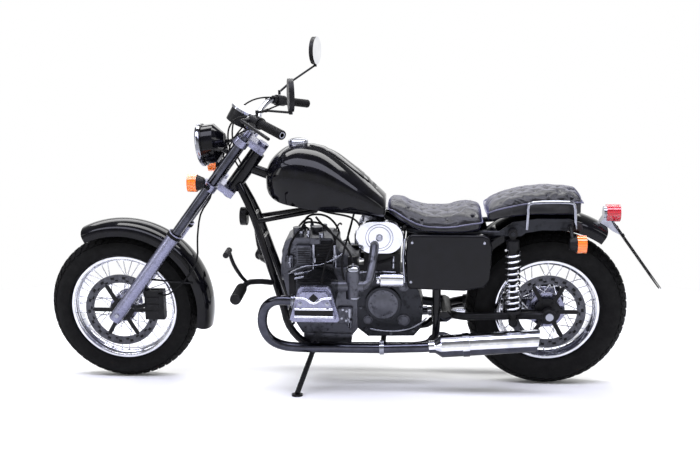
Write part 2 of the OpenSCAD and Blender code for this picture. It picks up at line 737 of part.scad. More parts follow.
tank_stations = [[632, 764, 730, 688, 104], [650, 782, 742, 693, 116],
    [700, 830, 768, 706, 130], [763, 884, 797, 716, 143], [828, 932, 822, 722, 150],
    [880, 957, 842, 727, 152], [930, 967, 854, 734, 150], [975, 969, 860, 742, 145],
    [1020, 955, 862, 750, 133], [1055, 930, 858, 762, 114], [1078, 905, 852, 780, 92],
    [1090, 882, 848, 796, 66]];
cap_c = [971, 0, 962];
cap_r = 38;

module fuel_tank() color(paint) parked() difference() {
    loft([for (s = tank_stations) tank_ring(s[0], s[1], s[2], s[3], s[4])]);
    translate(cap_c) cylinder(r = cap_r + seat_gap, h = 40);
}

module fuel_cap() color(chrome) parked() {
    translate(cap_c) cylinder(r = cap_r, h = 24);
    translate(cap_c + [0, 0, 24]) cylinder(r1 = cap_r - 3, r2 = cap_r - 12, h = 5);
}

// Cushion section at x: full above, flat below
function seat_ring(x, top, low, half) = let (mid = low + 0.45 * (top - low))
    concat([for (a = [0:15:180]) [x, half * cos(a) * (1 - 0.04 * sin(a)),
        mid + (top - mid) * pow(sin(a), 0.6)]],
        [[x, -half * 0.96, low + 5], [x, -half * 0.9, low], [x, half * 0.9, low],
        [x, half * 0.96, low + 5]]);

rider_stations = [[262, 724, 668, 128], [276, 738, 658, 140], [328, 734, 653.2, 150],
    [382, 714, 652, 152], [464, 712, 652.4, 148], [517, 724, 663, 138],
    [565, 751, 682, 120], [600, 771, 700, 102], [622, 756, 712, 86]];

module rider_seat() color(leather) parked()
    loft([for (s = rider_stations) seat_ring(s[0], s[1], s[2], s[3])]);

pillion_stations = [[-112, 788, 720, 100], [-100, 798, 716, 106], [0, 802, 715.3, 114],
    [60, 798, 715.5, 116], [115, 790, 712, 116], [194, 768, 700, 114],
    [232, 752, 690, 110], [248, 736, 690, 104]];

module pillion_seat() color(leather) parked()
    loft([for (s = pillion_stations) seat_ring(s[0], s[1], s[2], s[3])]);

module side_covers() color(paint) parked() both_sides()
    translate([0, 150, 0]) rotate([90, 0, 0])
    linear_extrude(150 - upright_y - cradle_r - seat_gap)
    polygon([[546, 446], [554, 560], [546, 632], [532, 646], [262, 646], [236, 636],
        [226, 600], [232, 470], [252, 438], [330, 424], [540, 430]]);

module rear_fender() color(paint) parked()
    fender(rear_axle, 36, 124, fender_outline(rear_fender_r, rear_fender_half, 338,
        fender_t));

grab_r = 6;
rail_foot = strut_y + strut_t + grab_r + 2 * seat_gap;

module grab_rails() color(chrome) parked() both_sides()
    bent_bar(smooth([[98, rail_foot, 664], [97, rail_foot, 690], [96, rail_foot + 8, 728],
        [96, rail_foot + 11, 752], [78, rail_foot + 11, 770],
        [-54, rail_foot + 11, 772], [-74, rail_foot + 11, 756],
        [-78, rail_foot + 8, 728], [-82, rail_foot, 690], [-84, rail_foot, 668]], 3),
        grab_r, 8, [0, 1, 0]);

tail_c = [-246, 0, 700];
// Points of x and z: on the fender's outside at an angle, and behind the plate
function tail_seat(a) = let (r = rear_fender_r + seat_gap)
    [r * cos(a), rear_axle_z + r * sin(a)];
function plate_xz(s) = [plate_top[0] + s * plate_dir[0] - seat_gap * plate_dir[2],
    plate_top[2] + s * plate_dir[2] + seat_gap * plate_dir[0]];

module tail_lamp() color([0.75, 0.05, 0.1]) parked() {
    rod(tail_c + [-22, 0, 0], tail_c + [30, 0, 0], 34);
    rod(tail_c + [30, 0, 0], tail_c + [40, 0, 0], 26);
    // Bracket down to the fender and the number plate
    slab([tail_seat(119), [-208, 690], [-240, 690], plate_xz(0), plate_xz(60),
        [-242, 632], tail_seat(123.5), tail_seat(121)], 22);
}

module number_plate() color([0.9, 0.9, 0.9]) parked() difference() {
    aim(plate_top, plate_top + plate_dir) translate([-plate_t, -plate_w / 2, 0])
        cube([plate_t, plate_w, plate_l]);
    both_sides() aim(plate_top, plate_top + plate_dir)
        translate([-5, plate_hole_spacing / 2, 40]) rotate([0, 90, 0])
        cylinder(r = plate_hole_r, h = 20);
}

rear_blinker = [-88, 188, 626];

module rear_indicators() color(amber) parked() both_sides() {
    indicator(rear_blinker, [-1, 0, 0]);
    rod(rear_blinker + [20, 0, 0], [-64, strut_y + strut_t + 20, 676], 7);
    rod([-64, strut_y + strut_t + 24, 676], [-64, strut_y + strut_t + seat_gap, 676], 8);
}

// ---------- rear suspension ----------

shock_foot = [140, 140, 300];

module shock_absorbers() color(paint) parked() both_sides() {
    top = [shock_top[0], shock_foot[1], shock_top[2]];
    d = unit(shock_foot - top);
    for (p = [top, shock_foot]) difference() {
        across(p - [0, 12, 0]) cylinder(r = 17, h = 24);
        across(p - [0, 13, 0]) cylinder(r = 8 + run_gap, h = 26);
    }
    rod(top + 12 * d, top + 30 * d, 11);
    rod(top + 27 * d, top + 60 * d, 24);
    rod(top + 58 * d, top + 192 * d, 18);
    rod(top + 190 * d, shock_foot - 12 * d, 11);
    rod(shock_foot - 50 * d, shock_foot - 40 * d, 30);
}

module shock_springs() color(chrome) parked() both_sides() {
    top = [shock_top[0], shock_foot[1], shock_top[2]];
    d = unit(shock_foot - top);
    from = top + 60.3 * d;
    to = shock_foot - 50.3 * d;
    coils = 11;
    pitch = norm(to - from) / coils;
    aim(from, to) rotate_extrude() polygon(concat([[18.5, 0]],
        [for (i = [0:coils - 1], e = [[23, 0], [30, 0.25], [30, 0.6], [23, 0.85]])
            [e[0], (i + e[1]) * pitch]],
        [[23, coils * pitch], [18.5, coils * pitch]]));
}

arm_y = 104;
arm_r = 15;
final_r = 84;

module swing_arm() color(paint) parked() difference() {
    union() {
        // Pivot sleeve between the frame's lugs
        across([pivot[0], 5.3 - upright_y, pivot[2]])
            cylinder(r = 20, h = 2 * (upright_y - 5.3));
        both_sides() bent_bar(concat(smooth([[pivot[0] - 4, 60, pivot[2]],
            [356, 88, pivot[2] + 1], [322, arm_y, pivot[2] + 2]], 3),
            [[0, arm_y, rear_axle_z]]), arm_r, 12);
        across([0, arm_y - 18, rear_axle_z]) cylinder(r = 26, h = 36);
        rod([322, -arm_y, pivot[2] + 2], [40, -arm_y, rear_axle_z], 21);
        both_sides() across([shock_foot[0], arm_y - 1, shock_foot[2]])
            cylinder(r = 8, h = 48);
    }
    across([pivot[0], -upright_y, pivot[2]])
        cylinder(r = pivot_r + run_gap, h = 2 * upright_y);
    across([0, 0, rear_axle_z]) cylinder(r = axle_r + run_gap, h = 200);
    across([0, -arm_y - 40, rear_axle_z]) cylinder(r = final_r + seat_gap, h = 80);
}

module final_drive() color(alloy) parked() difference() {
    union() {
        across([0, -arm_y - 24, rear_axle_z]) cylinder(r = final_r, h = 44);
        across([0, -arm_y - 36, rear_axle_z]) cylinder(r = 52, h = 14);
    }
    across([0, -200, rear_axle_z]) cylinder(r = axle_r + run_gap, h = 400);
}

module rear_axle() color(chrome) parked() {
    across([0, -arm_y - 40, rear_axle_z]) cylinder(r = axle_r, h = 2 * arm_y + 66);
    across([0, arm_y + 18.3, rear_axle_z]) cylinder(r = axle_r + 7, h = 9);
}

module rear_caliper() color(paint) parked() {
    c = [128, 0, rear_axle_z + 20];
    translate(c) mirror([1, 0, 0]) caliper([0, 0, 0], 44, 70, 26);
    rod(c + [0, disc_y + 16, -24], [128, arm_y - arm_r - seat_gap, c[2] - 24], 8);
}

module foot_controls() color(paint) parked() both_sides() {
    bent_bar(smooth([[1079.2, 81.8, 430], [1110, 120, 446], [1152, 160, 456],
        [1164, 200, 456]], 2), 11, 8);
    rod([1164, 196, 456], [1172, 226, 452], 11);
    rod([1172, 222, 452], [1176, 342, 446], 20);
    bent_bar(smooth([[1160, 186, 466], [1176, 214, 500], [1192, 262, 560],
        [1200, 300, 622]], 3), 7, 8);
    rod([1200, 292, 622], [1201, 356, 620], 11);
}

module horn() color(paint) parked() {
    rod([1178, 0, 678], [1206, 0, 678], 36);
    rod([1159.3, 0, 690], [1180, 0, 690], 8);
}

// ---------- side stand ----------

stand_pivot = [903, 150, 201];
stand_foot = [962, stand_foot_y, 0];
stand_foot_z = stand_foot_y * tan(lean);
foot_top = [stand_foot[0], stand_foot_y, stand_foot_z + 9];
// The pivot bolt is square to the leg, tipped up from the crosswise direction
stand_drop = foot_top - stand_pivot;
stand_tip = atan2(stand_drop[1], -stand_drop[2]);
stand_axis = [0, cos(stand_tip), sin(stand_tip)];

module stand_bracket() {
    rod([903, 118, 190], stand_pivot - 24 * stand_axis, 11);
    rod(stand_pivot - 27 * stand_axis, stand_pivot - 12.3 * stand_axis, 12);
    rod(stand_pivot - 13 * stand_axis, stand_pivot + 16 * stand_axis, stand_pin_r);
}

module side_stand() color(paint) {
    parked() difference() {
        union() {
            rod(stand_pivot - 12 * stand_axis, stand_pivot + 12 * stand_axis, 17);
            rod(stand_pivot, foot_top, stand_leg_r);
        }
        rod(stand_pivot - 14 * stand_axis, stand_pivot + 18 * stand_axis,
            stand_pin_r + run_gap);
    }
    // Foot plate flat on the floor
    translate([place_x + stand_foot[0],
        place_y + stand_foot_y * cos(lean) + stand_foot_z * sin(lean), 0])
        cylinder(r = 21, h = 8);
}

main_frame();
rear_subframe();
engine_block();
cylinders();
rocker_covers();
gearbox();
starter_motor();
carburettors();
air_cleaner();
exhaust_headers();
silencers();
fuel_tank();
fuel_cap();
rider_seat();
pillion_seat();
side_covers();
rear_fender();
grab_rails();
tail_lamp();
number_plate();
rear_indicators();
shock_absorbers();
shock_springs();
swing_arm();
final_drive();
rear_axle();
rear_caliper();
foot_controls();
horn();
fork_yokes();
fork_tubes();
fork_sliders();
front_fender();
headlight_shell();
headlight_lens();
front_indicators();
handlebar();
grips();
hand_controls();
mirrors();
gauge();
front_axle();
front_caliper();
control_cables();
front_tyre();
front_rim();
front_hub();
front_disc();
rear_tyre();
rear_rim();
rear_hub();
rear_disc();
side_stand();
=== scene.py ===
"""Looks of the cruiser motorcycle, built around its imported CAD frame.

Shapes are laid out in millimetres on an upright machine, with the rear axle at x = 0, forward
along +X and the left side along +Y. finish_piece() leans them onto the side stand and puts them
in the shared frame, in metres."""
import json
import math
import random

import bmesh
import bpy
from mathutils import Matrix, Vector


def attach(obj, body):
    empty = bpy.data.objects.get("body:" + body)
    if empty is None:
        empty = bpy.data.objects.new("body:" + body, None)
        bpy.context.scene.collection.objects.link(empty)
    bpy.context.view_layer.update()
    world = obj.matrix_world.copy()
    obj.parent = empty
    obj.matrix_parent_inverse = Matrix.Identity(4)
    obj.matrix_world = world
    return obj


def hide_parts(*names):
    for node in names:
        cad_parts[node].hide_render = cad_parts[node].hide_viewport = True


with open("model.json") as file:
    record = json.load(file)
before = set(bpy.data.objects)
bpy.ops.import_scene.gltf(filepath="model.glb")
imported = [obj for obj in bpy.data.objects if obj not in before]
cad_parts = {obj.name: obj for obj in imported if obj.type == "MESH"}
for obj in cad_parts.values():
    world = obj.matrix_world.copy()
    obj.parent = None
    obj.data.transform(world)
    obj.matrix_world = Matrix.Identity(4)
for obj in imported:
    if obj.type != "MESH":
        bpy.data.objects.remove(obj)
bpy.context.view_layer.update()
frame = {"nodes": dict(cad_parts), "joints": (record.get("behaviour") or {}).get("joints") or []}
random.seed(7)

LEAN = math.radians(8.75)
RAKE = math.radians(36.8)
WHEELBASE = 1690.0
FRONT_D, FRONT_W, REAR_D, REAR_W = 604.0, 112.0, 632.0, 140.0
FRONT_BEAD, REAR_BEAD = 412.0, 388.0
FRONT_Z = FRONT_D / 2 - FRONT_W / 2 + FRONT_W / 2 / math.cos(LEAN)
REAR_Z = REAR_D / 2 - REAR_W / 2 + REAR_W / 2 / math.cos(LEAN)
FORK_Y = 110.0

joints = {j["name"]: j for j in frame["joints"]}
rear_pos = Vector(joints["rear_wheel_spin"]["pos_m"])
PLACE = Vector((rear_pos.x, rear_pos.y - REAR_Z / 1000 * math.sin(LEAN), 0))
TO_FRAME = Matrix.Translation(PLACE) @ Matrix.Rotation(-LEAN, 4, "X") @ Matrix.Scale(0.001, 4)
TO_BIKE = TO_FRAME.inverted()
ACROSS, UP = Vector((0, 1, 0)), Vector((0, 0, 1))
BOTH = (1, -1)


def leg(s, y=0.0, n=0.0):
    """A point s above the front axle along the fork leg, n ahead of it, y to the left."""
    return Vector((WHEELBASE - s * math.sin(RAKE) + n * math.cos(RAKE), y,
                   FRONT_Z + s * math.cos(RAKE) + n * math.sin(RAKE)))


def both(p, s):
    """The point on the left for s = 1, and its mirror image on the right for s = -1."""
    return Vector((p[0], p[1] * s, p[2]))


# ---------- materials ----------

def linear(code):
    """An sRGB hex colour as linear red, green, blue, alpha."""
    parts = [int(code[i:i + 2], 16) / 255 for i in (1, 3, 5)]
    return tuple(c / 12.92 if c <= 0.04045 else ((c + 0.055) / 1.055) ** 2.4
                 for c in parts) + (1.0,)


def add(tree, kind, settings=(), links=()):
    """Adds a node, sets its sockets, properties and colour stops, and links sockets to it.
    A stop is (position, sRGB hex or grey value)."""
    made = tree.nodes.new(kind)
    for key, value in dict(settings).items():
        if key == "stops":
            band = made.color_ramp
            while len(band.elements) < len(value):
                band.elements.new(0.5)
            for element, (at, tone) in zip(band.elements, value):
                element.position = at
                element.color = linear(tone) if isinstance(tone, str) else (tone,) * 3 + (1,)
        elif isinstance(key, str) and hasattr(made, key) and key not in made.inputs:
            setattr(made, key, value)
        else:
            made.inputs[key].default_value = value
    for key, source in dict(links).items():
        tree.links.new(source, made.inputs[key])
    return made


def finish(name, settings):
    """A new material: its tree, its Principled shader and the Object coordinates."""
    mat = bpy.data.materials.new(name)
    mat.use_nodes = True
    tree = mat.node_tree
    shader = tree.nodes["Principled BSDF"]
    for key, value in settings.items():
        shader.inputs[key].default_value = value
    coords = tree.nodes.new("ShaderNodeTexCoord").outputs["Object"]
    return mat, tree, shader, coords


def weather(tree, shader, at, colour, shine, grain=()):
    """Colour and roughness that each follow blots of dust or wear, and a grain in relief.

    colour and shine are (blot size in mm, detail, contrast, stops); grain is (grain size in
    mm, detail, depth in metres, strength)."""
    for socket, (blot_mm, detail, contrast, stops) in (("Base Color", colour),
                                                       ("Roughness", shine)):
        blots = add(tree, "ShaderNodeTexNoise", {"Scale": 1000 / blot_mm, "Detail": detail,
                                                 "Roughness": contrast}, {"Vector": at})
        tones = add(tree, "ShaderNodeValToRGB", {"stops": stops}, {"Fac": blots.outputs["Fac"]})
        tree.links.new(tones.outputs["Color"], shader.inputs[socket])
    if grain:
        grain_mm, detail, depth, strength = grain
        pits = add(tree, "ShaderNodeTexNoise", {"Scale": 1000 / grain_mm, "Detail": detail,
                                                "Roughness": 0.6}, {"Vector": at})
        relief = add(tree, "ShaderNodeBump", {"Distance": depth, "Strength": strength},
                     {"Height": pits.outputs["Fac"]})
        tree.links.new(relief.outputs["Normal"], shader.inputs["Normal"])


# Blender's wave bands repeat every 314 mm at a scale of 1
WAVE_MM = 1000 * math.tau / 20


def gloss_paint(name, colour, rough=0.07):
    """Two-pack enamel, sprayed and polished: a deep mirror with faint dust and orange peel
    about 2 mm across."""
    mat, tree, shader, at = finish(name, {"IOR": 1.5, "Specular IOR Level": 0.1,
                                          "Coat Weight": 0.25, "Coat Roughness": 0.03,
                                          "Coat IOR": 1.45})
    weather(tree, shader, at, (38, 5, 0.6, [(0.35, colour), (0.85, "#101016")]),
            (60, 4, 0.6, [(0.3, rough), (0.8, rough + 0.09)]), (2.2, 1, 0.00004, 0.25))
    return mat


def satin_metal(name, colour, worn, rough=0.42):
    """Powder coat on steel: soft sheen, a fine grain and a little road dust."""
    mat, tree, shader, at = finish(name, {"IOR": 1.5, "Specular IOR Level": 0.18})
    weather(tree, shader, at, (24, 5, 0.6, [(0.38, colour), (0.78, worn)]),
            (14, 4, 0.6, [(0.3, rough - 0.1), (0.8, rough + 0.16)]), (0.9, 2, 0.00006, 0.5))
    return mat


def plated(name, colour, rough=0.05, haze="#9a9ca6"):
    """Polished nickel-chrome: a clean mirror, with wiping haze in faint patches."""
    mat, tree, shader, at = finish(name, {"Metallic": 1.0})
    weather(tree, shader, at, (45, 5, 0.6, [(0.35, colour), (0.85, haze)]),
            (30, 5, 0.6, [(0.35, rough), (0.8, rough + 0.13)]), (16, 2, 0.0001, 0.12))
    return mat


def cast_metal(name, colour, grime, rough=0.42, grain_mm=1.1, grain=0.00016):
    """Sand-cast aluminium: grey, finely pitted, with oil film and dirt in blotches."""
    mat, tree, shader, at = finish(name, {"Metallic": 0.92})
    weather(tree, shader, at, (34, 7, 0.7, [(0.3, grime), (0.48, colour), (0.8, colour)]),
            (12, 4, 0.6, [(0.3, rough - 0.12), (0.8, rough + 0.14)]), (grain_mm, 3, grain, 0.8))
    return mat


def turned_steel(name, colour):
    """Stainless brake steel: scoring left by the pads, about 1.6 mm across."""
    mat, tree, shader, at = finish(name, {"Metallic": 1.0})
    weather(tree, shader, at, (18, 5, 0.6, [(0.3, "#3c3c40"), (0.7, colour)]),
            (3, 3, 0.6, [(0.3, 0.22), (0.8, 0.42)]), (1.6, 2, 0.00008, 0.6))
    return mat


def rubbery(name, colour, dusty, rough=0.6, grain_mm=1.5):
    """Vulcanised rubber: matt, with a grey bloom of road dust."""
    mat, tree, shader, at = finish(name, {"IOR": 1.5, "Specular IOR Level": 0.12})
    weather(tree, shader, at, (30, 6, 0.6, [(0.4, colour), (0.85, dusty)]),
            (10, 4, 0.6, [(0.3, rough), (0.8, rough + 0.2)]), (grain_mm, 3, 0.00012, 0.5))
    return mat


def hide(name, colour, light):
    """Upholstery leather: pebbled grain 1.6 mm across, drawn at 2.4 mm to show, with a
    cool sheen where it is stretched."""
    mat, tree, shader, at = finish(name, {"IOR": 1.48, "Specular IOR Level": 0.4,
                                          "Sheen Weight": 0.3, "Sheen Roughness": 0.4,
                                          "Coat Weight": 0.12, "Coat Roughness": 0.3})
    shader.inputs["Sheen Tint"].default_value = linear("#8c8ccf")
    weather(tree, shader, at, (55, 5, 0.6, [(0.35, colour), (0.75, light)]),
            (20, 4, 0.6, [(0.3, 0.3), (0.8, 0.46)]))
    cells = add(tree, "ShaderNodeTexVoronoi", {"Scale": 1000 / 2.4, "feature": "DISTANCE_TO_EDGE"},
                {"Vector": at})
    pebbles = add(tree, "ShaderNodeMath", {"operation": "MINIMUM", 1: 0.25},
                  {0: cells.outputs["Distance"]})
    wrinkles = add(tree, "ShaderNodeTexNoise", {"Scale": 1000 / 22, "Detail": 4,
                                                "Roughness": 0.55}, {"Vector": at})
    height = add(tree, "ShaderNodeMath", {"operation": "MULTIPLY_ADD", 1: 1.6},
                 {0: wrinkles.outputs["Fac"], 2: pebbles.outputs[0]})
    relief = add(tree, "ShaderNodeBump", {"Distance": 0.0005, "Strength": 0.55},
                 {"Height": height.outputs[0]})
    tree.links.new(relief.outputs["Normal"], shader.inputs["Normal"])
    return mat


def lamp_plastic(name, colour, deep):
    """Moulded acrylic lens: clear coloured plastic with prisms 6 mm apart behind it. Its faint glow
    in its own colour is painted light; the lamp is not lit.
    """
    mat, tree, shader, at = finish(name, {"IOR": 1.49, "Roughness": 0.12, "Coat Weight": 1.0,
                                          "Coat Roughness": 0.03, "Subsurface Weight": 0.35,
                                          "Subsurface Scale": 0.006,
                                          "Emission Strength": 0.12})
    shader.inputs["Emission Color"].default_value = linear(colour)
    prisms = add(tree, "ShaderNodeTexWave", {"Scale": WAVE_MM / 5.92, "bands_direction": "Z"},
                 {"Vector": at}).outputs["Fac"]
    tones = add(tree, "ShaderNodeValToRGB", {"stops": [(0.1, deep), (0.8, colour)]},
                {"Fac": prisms})
    tree.links.new(tones.outputs["Color"], shader.inputs["Base Color"])
    relief = add(tree, "ShaderNodeBump", {"Distance": 0.0004, "Strength": 0.5},
                 {"Height": prisms})
    tree.links.new(relief.outputs["Normal"], shader.inputs["Normal"])
    return mat


def clear_glass():
    """Pressed lamp glass: clear, slightly blue, with upright flutes 18 mm apart."""
    mat, tree, shader, at = finish("fluted_lamp_glass", {"IOR": 1.5, "Roughness": 0.04,
                                                         "Transmission Weight": 1.0})
    shader.inputs["Base Color"].default_value = linear("#eef3ff")
    flutes = add(tree, "ShaderNodeTexWave", {"Scale": WAVE_MM / 17.76, "bands_direction": "Y"},
                 {"Vector": at})
    relief = add(tree, "ShaderNodeBump", {"Distance": 0.0012, "Strength": 0.7},
                 {"Height": flutes.outputs["Fac"]})
    tree.links.new(relief.outputs["Normal"], shader.inputs["Normal"])
    return mat


BLACK_PAINT = gloss_paint("gloss_black_enamel", "#050507")
SATIN = satin_metal("satin_black_powder_coat", "#09090b", "#1a1a1e")
CHROME = plated("polished_chrome", "#9c9ea8", 0.05, "#74767f")
BRIGHT_CHROME = plated("mirror_chrome", "#e6e7ee", 0.04, "#b9bbc4")
# Darkened chrome; on the silencers' lower and inner faces it is a painted reflection of the dark
# ground and painted shade
DARK_CHROME = plated("darkened_chrome", "#4b4c55", 0.12, "#303137")
CAST = cast_metal("sand_cast_alloy", "#55565d", "#1b1b1e")
# A darker copy of the cast alloy, on the cylinders, gearbox, rear subframe and final drive
DARK_CAST = cast_metal("darker_cast_alloy", "#2f3034", "#0e0e10", 0.42)
POLISHED = cast_metal("buffed_alloy", "#84859a", "#5c5d6a", 0.28, 3.0, 0.00002)
FORK_ALLOY = cast_metal("lacquered_fork_alloy", "#83849a", "#74758a", 0.3, 3.0, 0.00002)
DISC_STEEL = turned_steel("scored_brake_steel", "#55565c")
LEATHER = hide("black_seat_leather", "#050507", "#0e0e14")
# The piping's pale lilac colour is a painted highlight along the seats' side edges
PIPING_PAINTED_HIGHLIGHT = hide("piping_painted_highlight", "#4a4a5e", "#6c6c84")
TYRE = rubbery("tyre_rubber", "#070708", "#141414", 0.6)
RUBBER = rubbery("soft_grip_rubber", "#070708", "#151517", 0.5)
AMBER = lamp_plastic("amber_acrylic", "#ff8a2a", "#c84a08")
RED = lamp_plastic("red_acrylic", "#d01830", "#6a0614")
PLATE_WHITE = satin_metal("painted_plate", "#c9c9c9", "#a9a9ac", 0.35)
MIRROR_GLASS = plated("silvered_mirror", "#f2f3f7", 0.01, "#d8dae2")
GLASS = clear_glass()

NODE_FINISH = {
    "main_frame": BLACK_PAINT, "rear_subframe": DARK_CAST, "engine_block": CAST,
    "cylinders": DARK_CAST, "rocker_covers": POLISHED, "gearbox": DARK_CAST,
    "starter_motor": CHROME, "carburettors": CAST, "air_cleaner": CHROME,
    "exhaust_headers": DARK_CHROME, "silencers": CHROME, "fuel_tank": BLACK_PAINT,
    "fuel_cap": CHROME, "rider_seat": LEATHER, "pillion_seat": LEATHER,
    "side_covers": BLACK_PAINT, "rear_fender": BLACK_PAINT, "grab_rails": CHROME,
    "tail_lamp": RED, "number_plate": PLATE_WHITE, "rear_indicators": AMBER,
    "shock_absorbers": SATIN, "shock_springs": CHROME, "swing_arm": SATIN,
    "final_drive": DARK_CAST, "rear_axle": CHROME, "rear_caliper": SATIN,
    "foot_controls": SATIN, "horn": SATIN, "fork_yokes": POLISHED,
    "fork_tubes": DARK_CHROME, "fork_sliders": FORK_ALLOY, "front_fender": BLACK_PAINT,
    "headlight_shell": BLACK_PAINT, "headlight_lens": GLASS, "front_indicators": AMBER,
    "handlebar": CHROME, "grips": RUBBER, "hand_controls": SATIN, "mirrors": CHROME,
    "gauge": CHROME, "front_axle": CHROME, "front_caliper": SATIN,
    "control_cables": RUBBER, "front_tyre": TYRE, "front_rim": CHROME,
    "front_hub": POLISHED, "front_disc": DISC_STEEL, "rear_tyre": TYRE,
    "rear_rim": CHROME, "rear_hub": POLISHED, "rear_disc": DISC_STEEL,
    "side_stand": SATIN,
}
for node_name, node_object in frame["nodes"].items():
    node_object.data.materials.clear()
    node_object.data.materials.append(NODE_FINISH[node_name])


# ---------- making pieces ----------

def finish_piece(name, bm, mat, body, replaces=(), smooth=35, bevel=0.0, segments=2,
                 subdivide=0, already_placed=False):
    """Turns a bmesh in millimetres into a piece of the object."""
    mesh = bpy.data.meshes.new(name)
    if not already_placed:
        bmesh.ops.transform(bm, matrix=TO_FRAME, verts=bm.verts)
    bm.to_mesh(mesh)
    bm.free()
    return dress(name, mesh, mat, body, replaces, smooth, bevel, segments, subdivide)


def dress(name, mesh, mat, body, replaces=(), smooth=35, bevel=0.0, segments=2,
          subdivide=0):
    piece = bpy.data.objects.new(name, mesh)
    bpy.context.scene.collection.objects.link(piece)
    mats = mat if isinstance(mat, (list, tuple)) else [mat]
    for m in mats:
        mesh.materials.append(m)
    if bevel:
        edge = piece.modifiers.new("rounded_edges", "BEVEL")
        edge.width = bevel / 1000
        edge.segments = segments
        edge.limit_method = "ANGLE"
        edge.angle_limit = math.radians(32)
        edge.harden_normals = False
    if subdivide:
        sub = piece.modifiers.new("smoothed", "SUBSURF")
        sub.levels = sub.render_levels = subdivide
    mesh.shade_smooth()
    if smooth and not subdivide:
        mesh.set_sharp_from_angle(angle=math.radians(smooth))
    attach(piece, body)
    if replaces:
        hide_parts(*replaces)
    return piece


def cad_copy(node):
    """A copy of a CAD node's mesh with its facets merged."""
    bm = bmesh.new()
    bm.from_mesh(frame["nodes"][node].data)
    bmesh.ops.remove_doubles(bm, verts=bm.verts, dist=0.00002)
    bmesh.ops.dissolve_limit(bm, angle_limit=math.radians(1), verts=bm.verts, edges=bm.edges)
    return bm


def rounded(node, mat, body, bevel=1.5, segments=2, smooth=34):
    """A copy of a CAD node with its edges broken, to stand for it."""
    return finish_piece(node + "_shown", cad_copy(node), mat, body, (node,), smooth, bevel,
                        segments, already_placed=True)


def split_finish(node, body, mats, test, bevel=1.0, segments=2, smooth=36):
    """The same, with mats[1] on the faces whose middle and normal pass the test."""
    bm, turn = cad_copy(node), TO_BIKE.to_3x3()
    for face in bm.faces:
        if test(TO_BIKE @ face.calc_center_median(), (turn @ face.normal).normalized()):
            face.material_index = 1
    return finish_piece(node + "_shown", bm, mats, body, (node,), smooth, bevel, segments,
                        already_placed=True)


def axis_matrix(a, b):
    """Puts +Z from a towards b, with a at the origin."""
    d = (Vector(b) - Vector(a)).normalized()
    return Matrix.Translation(Vector(a)) @ d.to_track_quat("Z", "Y").to_matrix().to_4x4()


def rod(bm, a, b, r, r2=None, sides=24):
    length = (Vector(b) - Vector(a)).length
    made = bmesh.ops.create_cone(bm, cap_ends=True, segments=sides, radius1=r,
                                 radius2=r if r2 is None else r2, depth=length)
    mat = axis_matrix(a, b) @ Matrix.Translation((0, 0, length / 2))
    bmesh.ops.transform(bm, matrix=mat, verts=made["verts"])
    return made["verts"]


def block(bm, centre, size, turn=None):
    made = bmesh.ops.create_cube(bm, size=1.0)
    mat = Matrix.Translation(Vector(centre)) @ (turn or Matrix()) @ Matrix.Diagonal(
        (size[0], size[1], size[2], 1))
    bmesh.ops.transform(bm, matrix=mat, verts=made["verts"])
    return made["verts"]


def turned(bm, a, b, outline, sides=48):
    """Spins (radius, height) points about the line from a towards b."""
    before = set(bm.verts)
    verts = [bm.verts.new((r, 0, h)) for r, h in outline]
    edges = [bm.edges.new(pair) for pair in zip(verts, verts[1:])]
    bmesh.ops.spin(bm, geom=verts + edges, cent=(0, 0, 0), axis=(0, 0, 1), angle=math.tau,
                   steps=sides, use_merge=True)
    bmesh.ops.remove_doubles(bm, verts=[v for v in bm.verts if v not in before], dist=0.001)
    new = [v for v in bm.verts if v not in before]
    bmesh.ops.transform(bm, matrix=axis_matrix(a, b), verts=new)
    bmesh.ops.recalc_face_normals(bm, faces=list({f for v in new for f in v.link_faces}))
    return new


def tube_mesh(name, paths, radius, resolution=3, closed_ends=True, cyclic=False):
    """Round tubes along lists of points in millimetres, as one mesh in the shared frame."""
    curve = bpy.data.curves.new(name, "CURVE")
    curve.dimensions = "3D"
    curve.bevel_depth = radius
    curve.bevel_resolution = resolution
    curve.use_fill_caps = closed_ends
    curve.resolution_u = 6
    for points in paths:
        line = curve.splines.new("NURBS")
        line.points.add(len(points) - 1)
        for p, q in zip(line.points, points):
            p.co = (*q, 1)
        line.order_u = min(4, len(points))
        line.use_endpoint_u = not cyclic
        line.use_cyclic_u = cyclic
    holder = bpy.data.objects.new(name + "_line", curve)
    bpy.context.scene.collection.objects.link(holder)
    graph = bpy.context.evaluated_depsgraph_get()
    mesh = bpy.data.meshes.new_from_object(holder.evaluated_get(graph))
    bpy.data.objects.remove(holder)
    bm = bmesh.new()
    bm.from_mesh(mesh)
    bmesh.ops.remove_doubles(bm, verts=bm.verts, dist=0.001)
    bmesh.ops.recalc_face_normals(bm, faces=bm.faces)
    bmesh.ops.transform(bm, matrix=TO_FRAME, verts=bm.verts)
    bm.to_mesh(mesh)
    bm.free()
    mesh.name = name
    return mesh


def pipes(name, paths, radius, mat, body, resolution=3, replaces=(), cyclic=False):
    mesh = tube_mesh(name, paths, radius, resolution, True, cyclic)
    return dress(name, mesh, mat, body, replaces, smooth=40)


def loft(bm, rings, caps=True):
    """Joins rings of equal count: each new ring is extruded from the last and moved."""
    verts = [bm.verts.new(p) for p in rings[0]]
    edges = [bm.edges.new((verts[i], verts[(i + 1) % len(verts)])) for i in range(len(verts))]
    if caps:
        bm.faces.new(verts)
    for ring in rings[1:]:
        made = bmesh.ops.extrude_edge_only(bm, edges=edges)["geom"]
        fresh = [g for g in made if isinstance(g, bmesh.types.BMVert)]
        edges = [g for g in made if isinstance(g, bmesh.types.BMEdge)
                 and all(v in fresh for v in g.verts)]
        lookup = {tuple(round(c, 4) for c in v.co): v for v in fresh}
        verts = [lookup[tuple(round(c, 4) for c in v.co)] for v in verts]
        for v, p in zip(verts, ring):
            v.co = p
    if caps:
        bm.faces.new(verts)
    bmesh.ops.recalc_face_normals(bm, faces=bm.faces)


# ---------- camera, floor and light ----------

